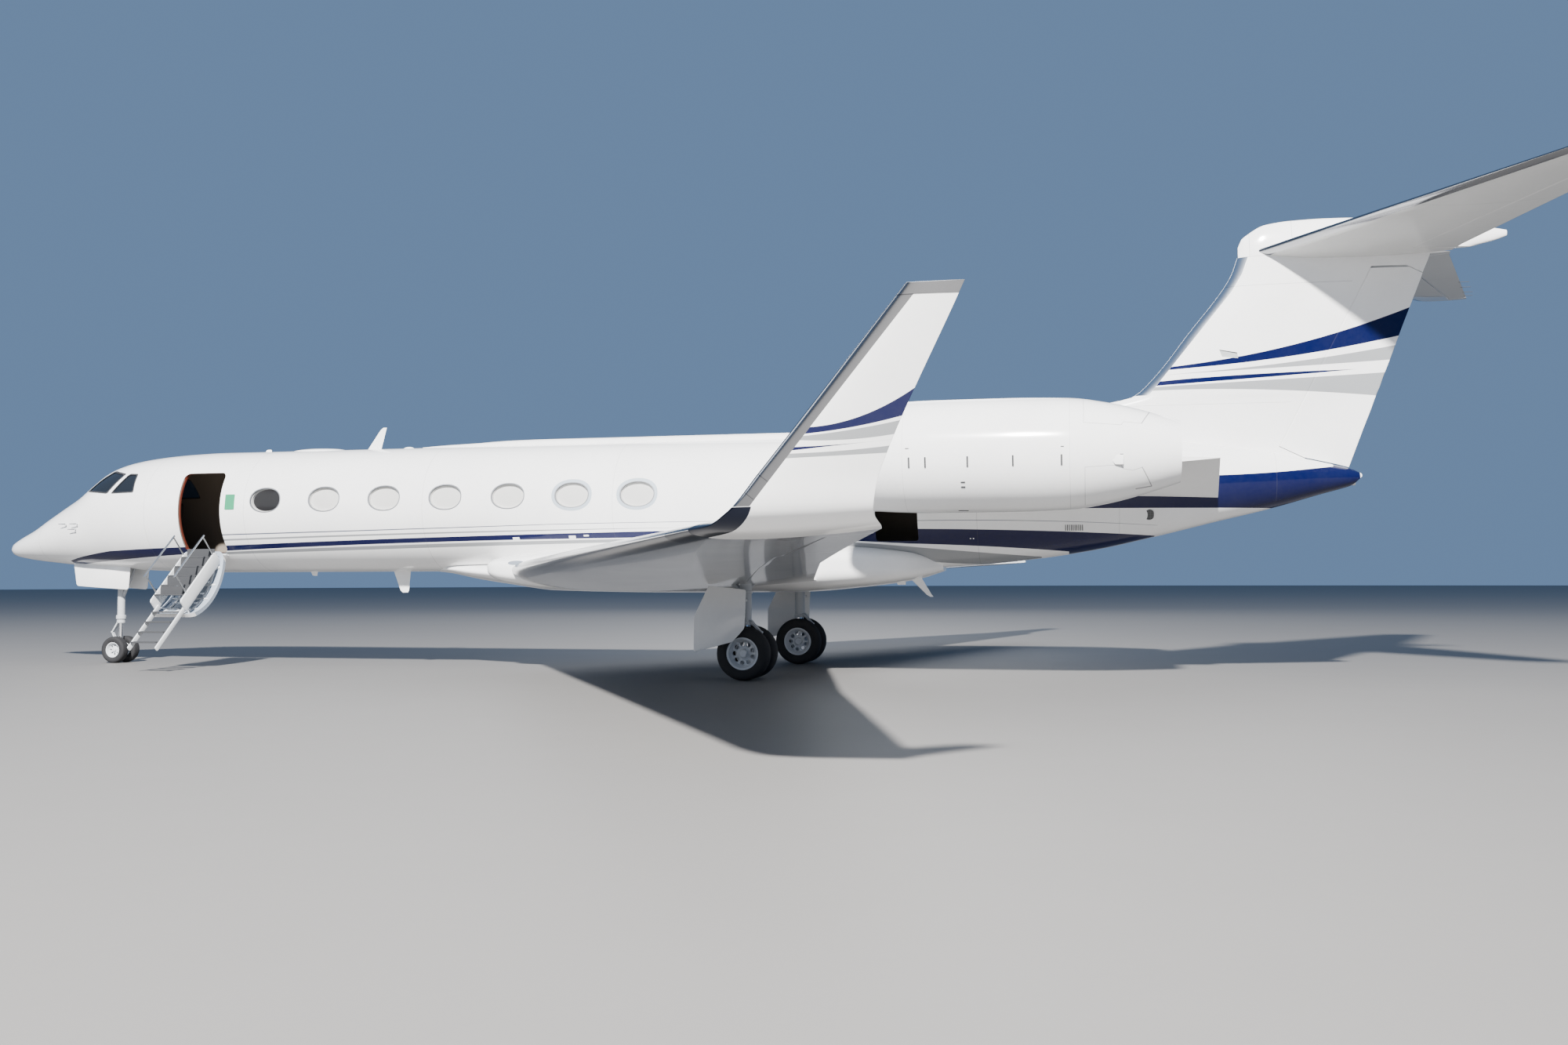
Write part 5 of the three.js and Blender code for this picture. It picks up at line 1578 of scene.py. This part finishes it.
def make_latches():
    rows = [(s, 3.458, 0.026, 0.17) for s in (19.175, 19.43, 20.08, 20.77, 21.497)]
    rows += [(20.0, 3.15, 0.07, 0.022), (20.0, 3.08, 0.07, 0.022), (19.15, 3.68, 0.06, 0.012),
             (21.51, 3.66, 0.05, 0.012), (19.96, 2.74, 0.16, 0.02)]
    return merged(*[on_nacelle(*row) for row in rows])


both_sides("nacelle_latches", make_latches, DARK)
exhaust = [(0.088, 0.0), (0.104, 0.0), (0.1045, 0.2), (0.088, 0.2), (0.088, 0.0)]
finish_piece("exhaust_ring", turned(exhaust, "X", (x_at(26.24), 0, 3.302), 64), METAL)


def make_wicks():
    """Static wicks on the trailing edge of the elevator."""
    parts = []
    for y in (3.2, 3.8, 4.4, 4.85):
        s, z = 27.88 + (y - 0.4) * 0.308, 7.0855 + (y - 0.4) * 0.0347
        end = min(s + 0.16, LENGTH - 0.005)
        parts.append(bar((x_at(s - 0.03), y, z), (x_at(end), y + 0.01, z), 0.005, 8))
    return merged(*parts)


both_sides("elevator_wicks", make_wicks, DARK, (), "elevator")


# Cockpit inside. The crown is how far a pad goes from a box towards a ball.
CROWN = 0.35


def cushion(front, back, y0, y1, z0, z1):
    """A crowned closed pad that fills a box, its sides drawn in between the corners."""
    bm = bmesh.new()
    bmesh.ops.create_cube(bm, size=2)
    bmesh.ops.subdivide_edges(bm, edges=list(bm.edges), cuts=9, use_grid_fill=True)
    half = Vector(((back - front) / 2, (y1 - y0) / 2, (z1 - z0) / 2))

    def round_off(a, b, c):
        return a * math.sqrt(1 - b * b / 2 - c * c / 2 + b * b * c * c / 3)

    for v in bm.verts:
        a, b, c = v.co
        spot = v.co.lerp(Vector((round_off(a, b, c), round_off(b, c, a), round_off(c, a, b))), CROWN)
        v.co = Vector((spot.x * half.x, spot.y * half.y, spot.z * half.z))
    bmesh.ops.translate(bm, vec=(x_at((front + back) / 2), (y0 + y1) / 2, (z0 + z1) / 2), verts=bm.verts)
    return bm


def make_seat_frame():
    arms = [softened(block(3.08, 3.42, y, y + 0.028, 2.78, 2.82), 0.01, 3) for y in (0.272, 0.7)]
    return merged(
        softened(block(3.1, 3.38, 0.4, 0.6, FLOOR + GAP, 2.5), 0.02, 3),
        softened(block(3.46, 3.52, 0.3, 0.7, 2.58, 3.26), 0.025, 3),
        softened(block(3.0, 3.46, 0.3, 0.7, 2.49, 2.53), 0.015, 3), *arms,
    )


both_sides("seat_frame", make_seat_frame, DARK, ("pilot_seat",))
for name, room in [
    ("seat_cushion", (2.985, 3.44, 0.29, 0.71, 2.525, 2.628)),
    ("seat_back", (3.39, 3.47, 0.29, 0.71, 2.63, 3.14)),
    ("headrest", (3.4, 3.47, 0.38, 0.62, 3.16, 3.325)),
]:
    for piece in both_sides(name, lambda: cushion(*room), LEATHER, smooth_angle=80):
        smoother = piece.modifiers.new("smoother", "SUBSURF")
        smoother.levels = smoother.render_levels = 1


def make_panel():
    hood = softened(block(2.36, 2.58, -0.6, 0.6, 3.2, 3.27), 0.03, 4)
    face = softened(block(2.35, 2.575, -0.595, 0.595, 2.95, 3.215), 0.02, 3)
    pedestal = softened(block(2.352, 2.48, -0.15, 0.15, FLOOR + GAP, 2.99), 0.02, 3)
    screens = [softened(block(2.575, 2.585, y - 0.13, y + 0.13, 2.985, 3.175), 0.003, 1)
               for y in (-0.44, -0.15, 0.15, 0.44)]
    return merged(hood, face, pedestal, *screens)


finish_piece("cockpit_panel", make_panel(), DARK, ("instrument_panel",))

# Floor and light. Lights: name, place, target, size, power, colour
FLOOR_COLOUR = (0.178, 0.172, 0.166)
SKY, SKY_STRENGTH = (0.35, 0.58, 1.0, 1), 0.41
LIGHTS = [
    ("key", (-6, 49, 38), (-1, 0, 3), 3.2, 168000, (1.0, 0.98, 0.95)),
    ("fill", (34, 34, 16), (-2, 0, 3), 18, 3000, (0.94, 0.97, 1.0)),
    ("back", (4, -38, 24), (0, 0, 3), 22, 5000, (1, 1, 1)),
]


def make_floor():
    bm = bmesh.new()
    bmesh.ops.create_circle(bm, cap_ends=True, segments=96, radius=260)
    floor = new_piece("floor", bm)
    floor.data.materials.append(plain("pale floor", FLOOR_COLOUR, 0.6, weather=0.15))


def make_world():
    world = bpy.data.worlds.new("studio")
    world.use_nodes = True
    background = world.node_tree.nodes["Background"]
    background.inputs["Color"].default_value = SKY
    background.inputs["Strength"].default_value = SKY_STRENGTH
    bpy.context.scene.world = world


def make_light(name, place, target, size, power, colour):
    data = bpy.data.lights.new(name, "AREA")
    data.shape = "DISK"
    data.size = size
    data.energy = power
    data.color = colour
    lamp = bpy.data.objects.new(name, data)
    aim = (Vector(target) - Vector(place)).to_track_quat("-Z", "Y")
    lamp.matrix_world = Matrix.Translation(place) @ aim.to_matrix().to_4x4()
    bpy.context.scene.collection.objects.link(lamp)


make_floor()
make_world()
for light in LIGHTS:
    make_light(*light)
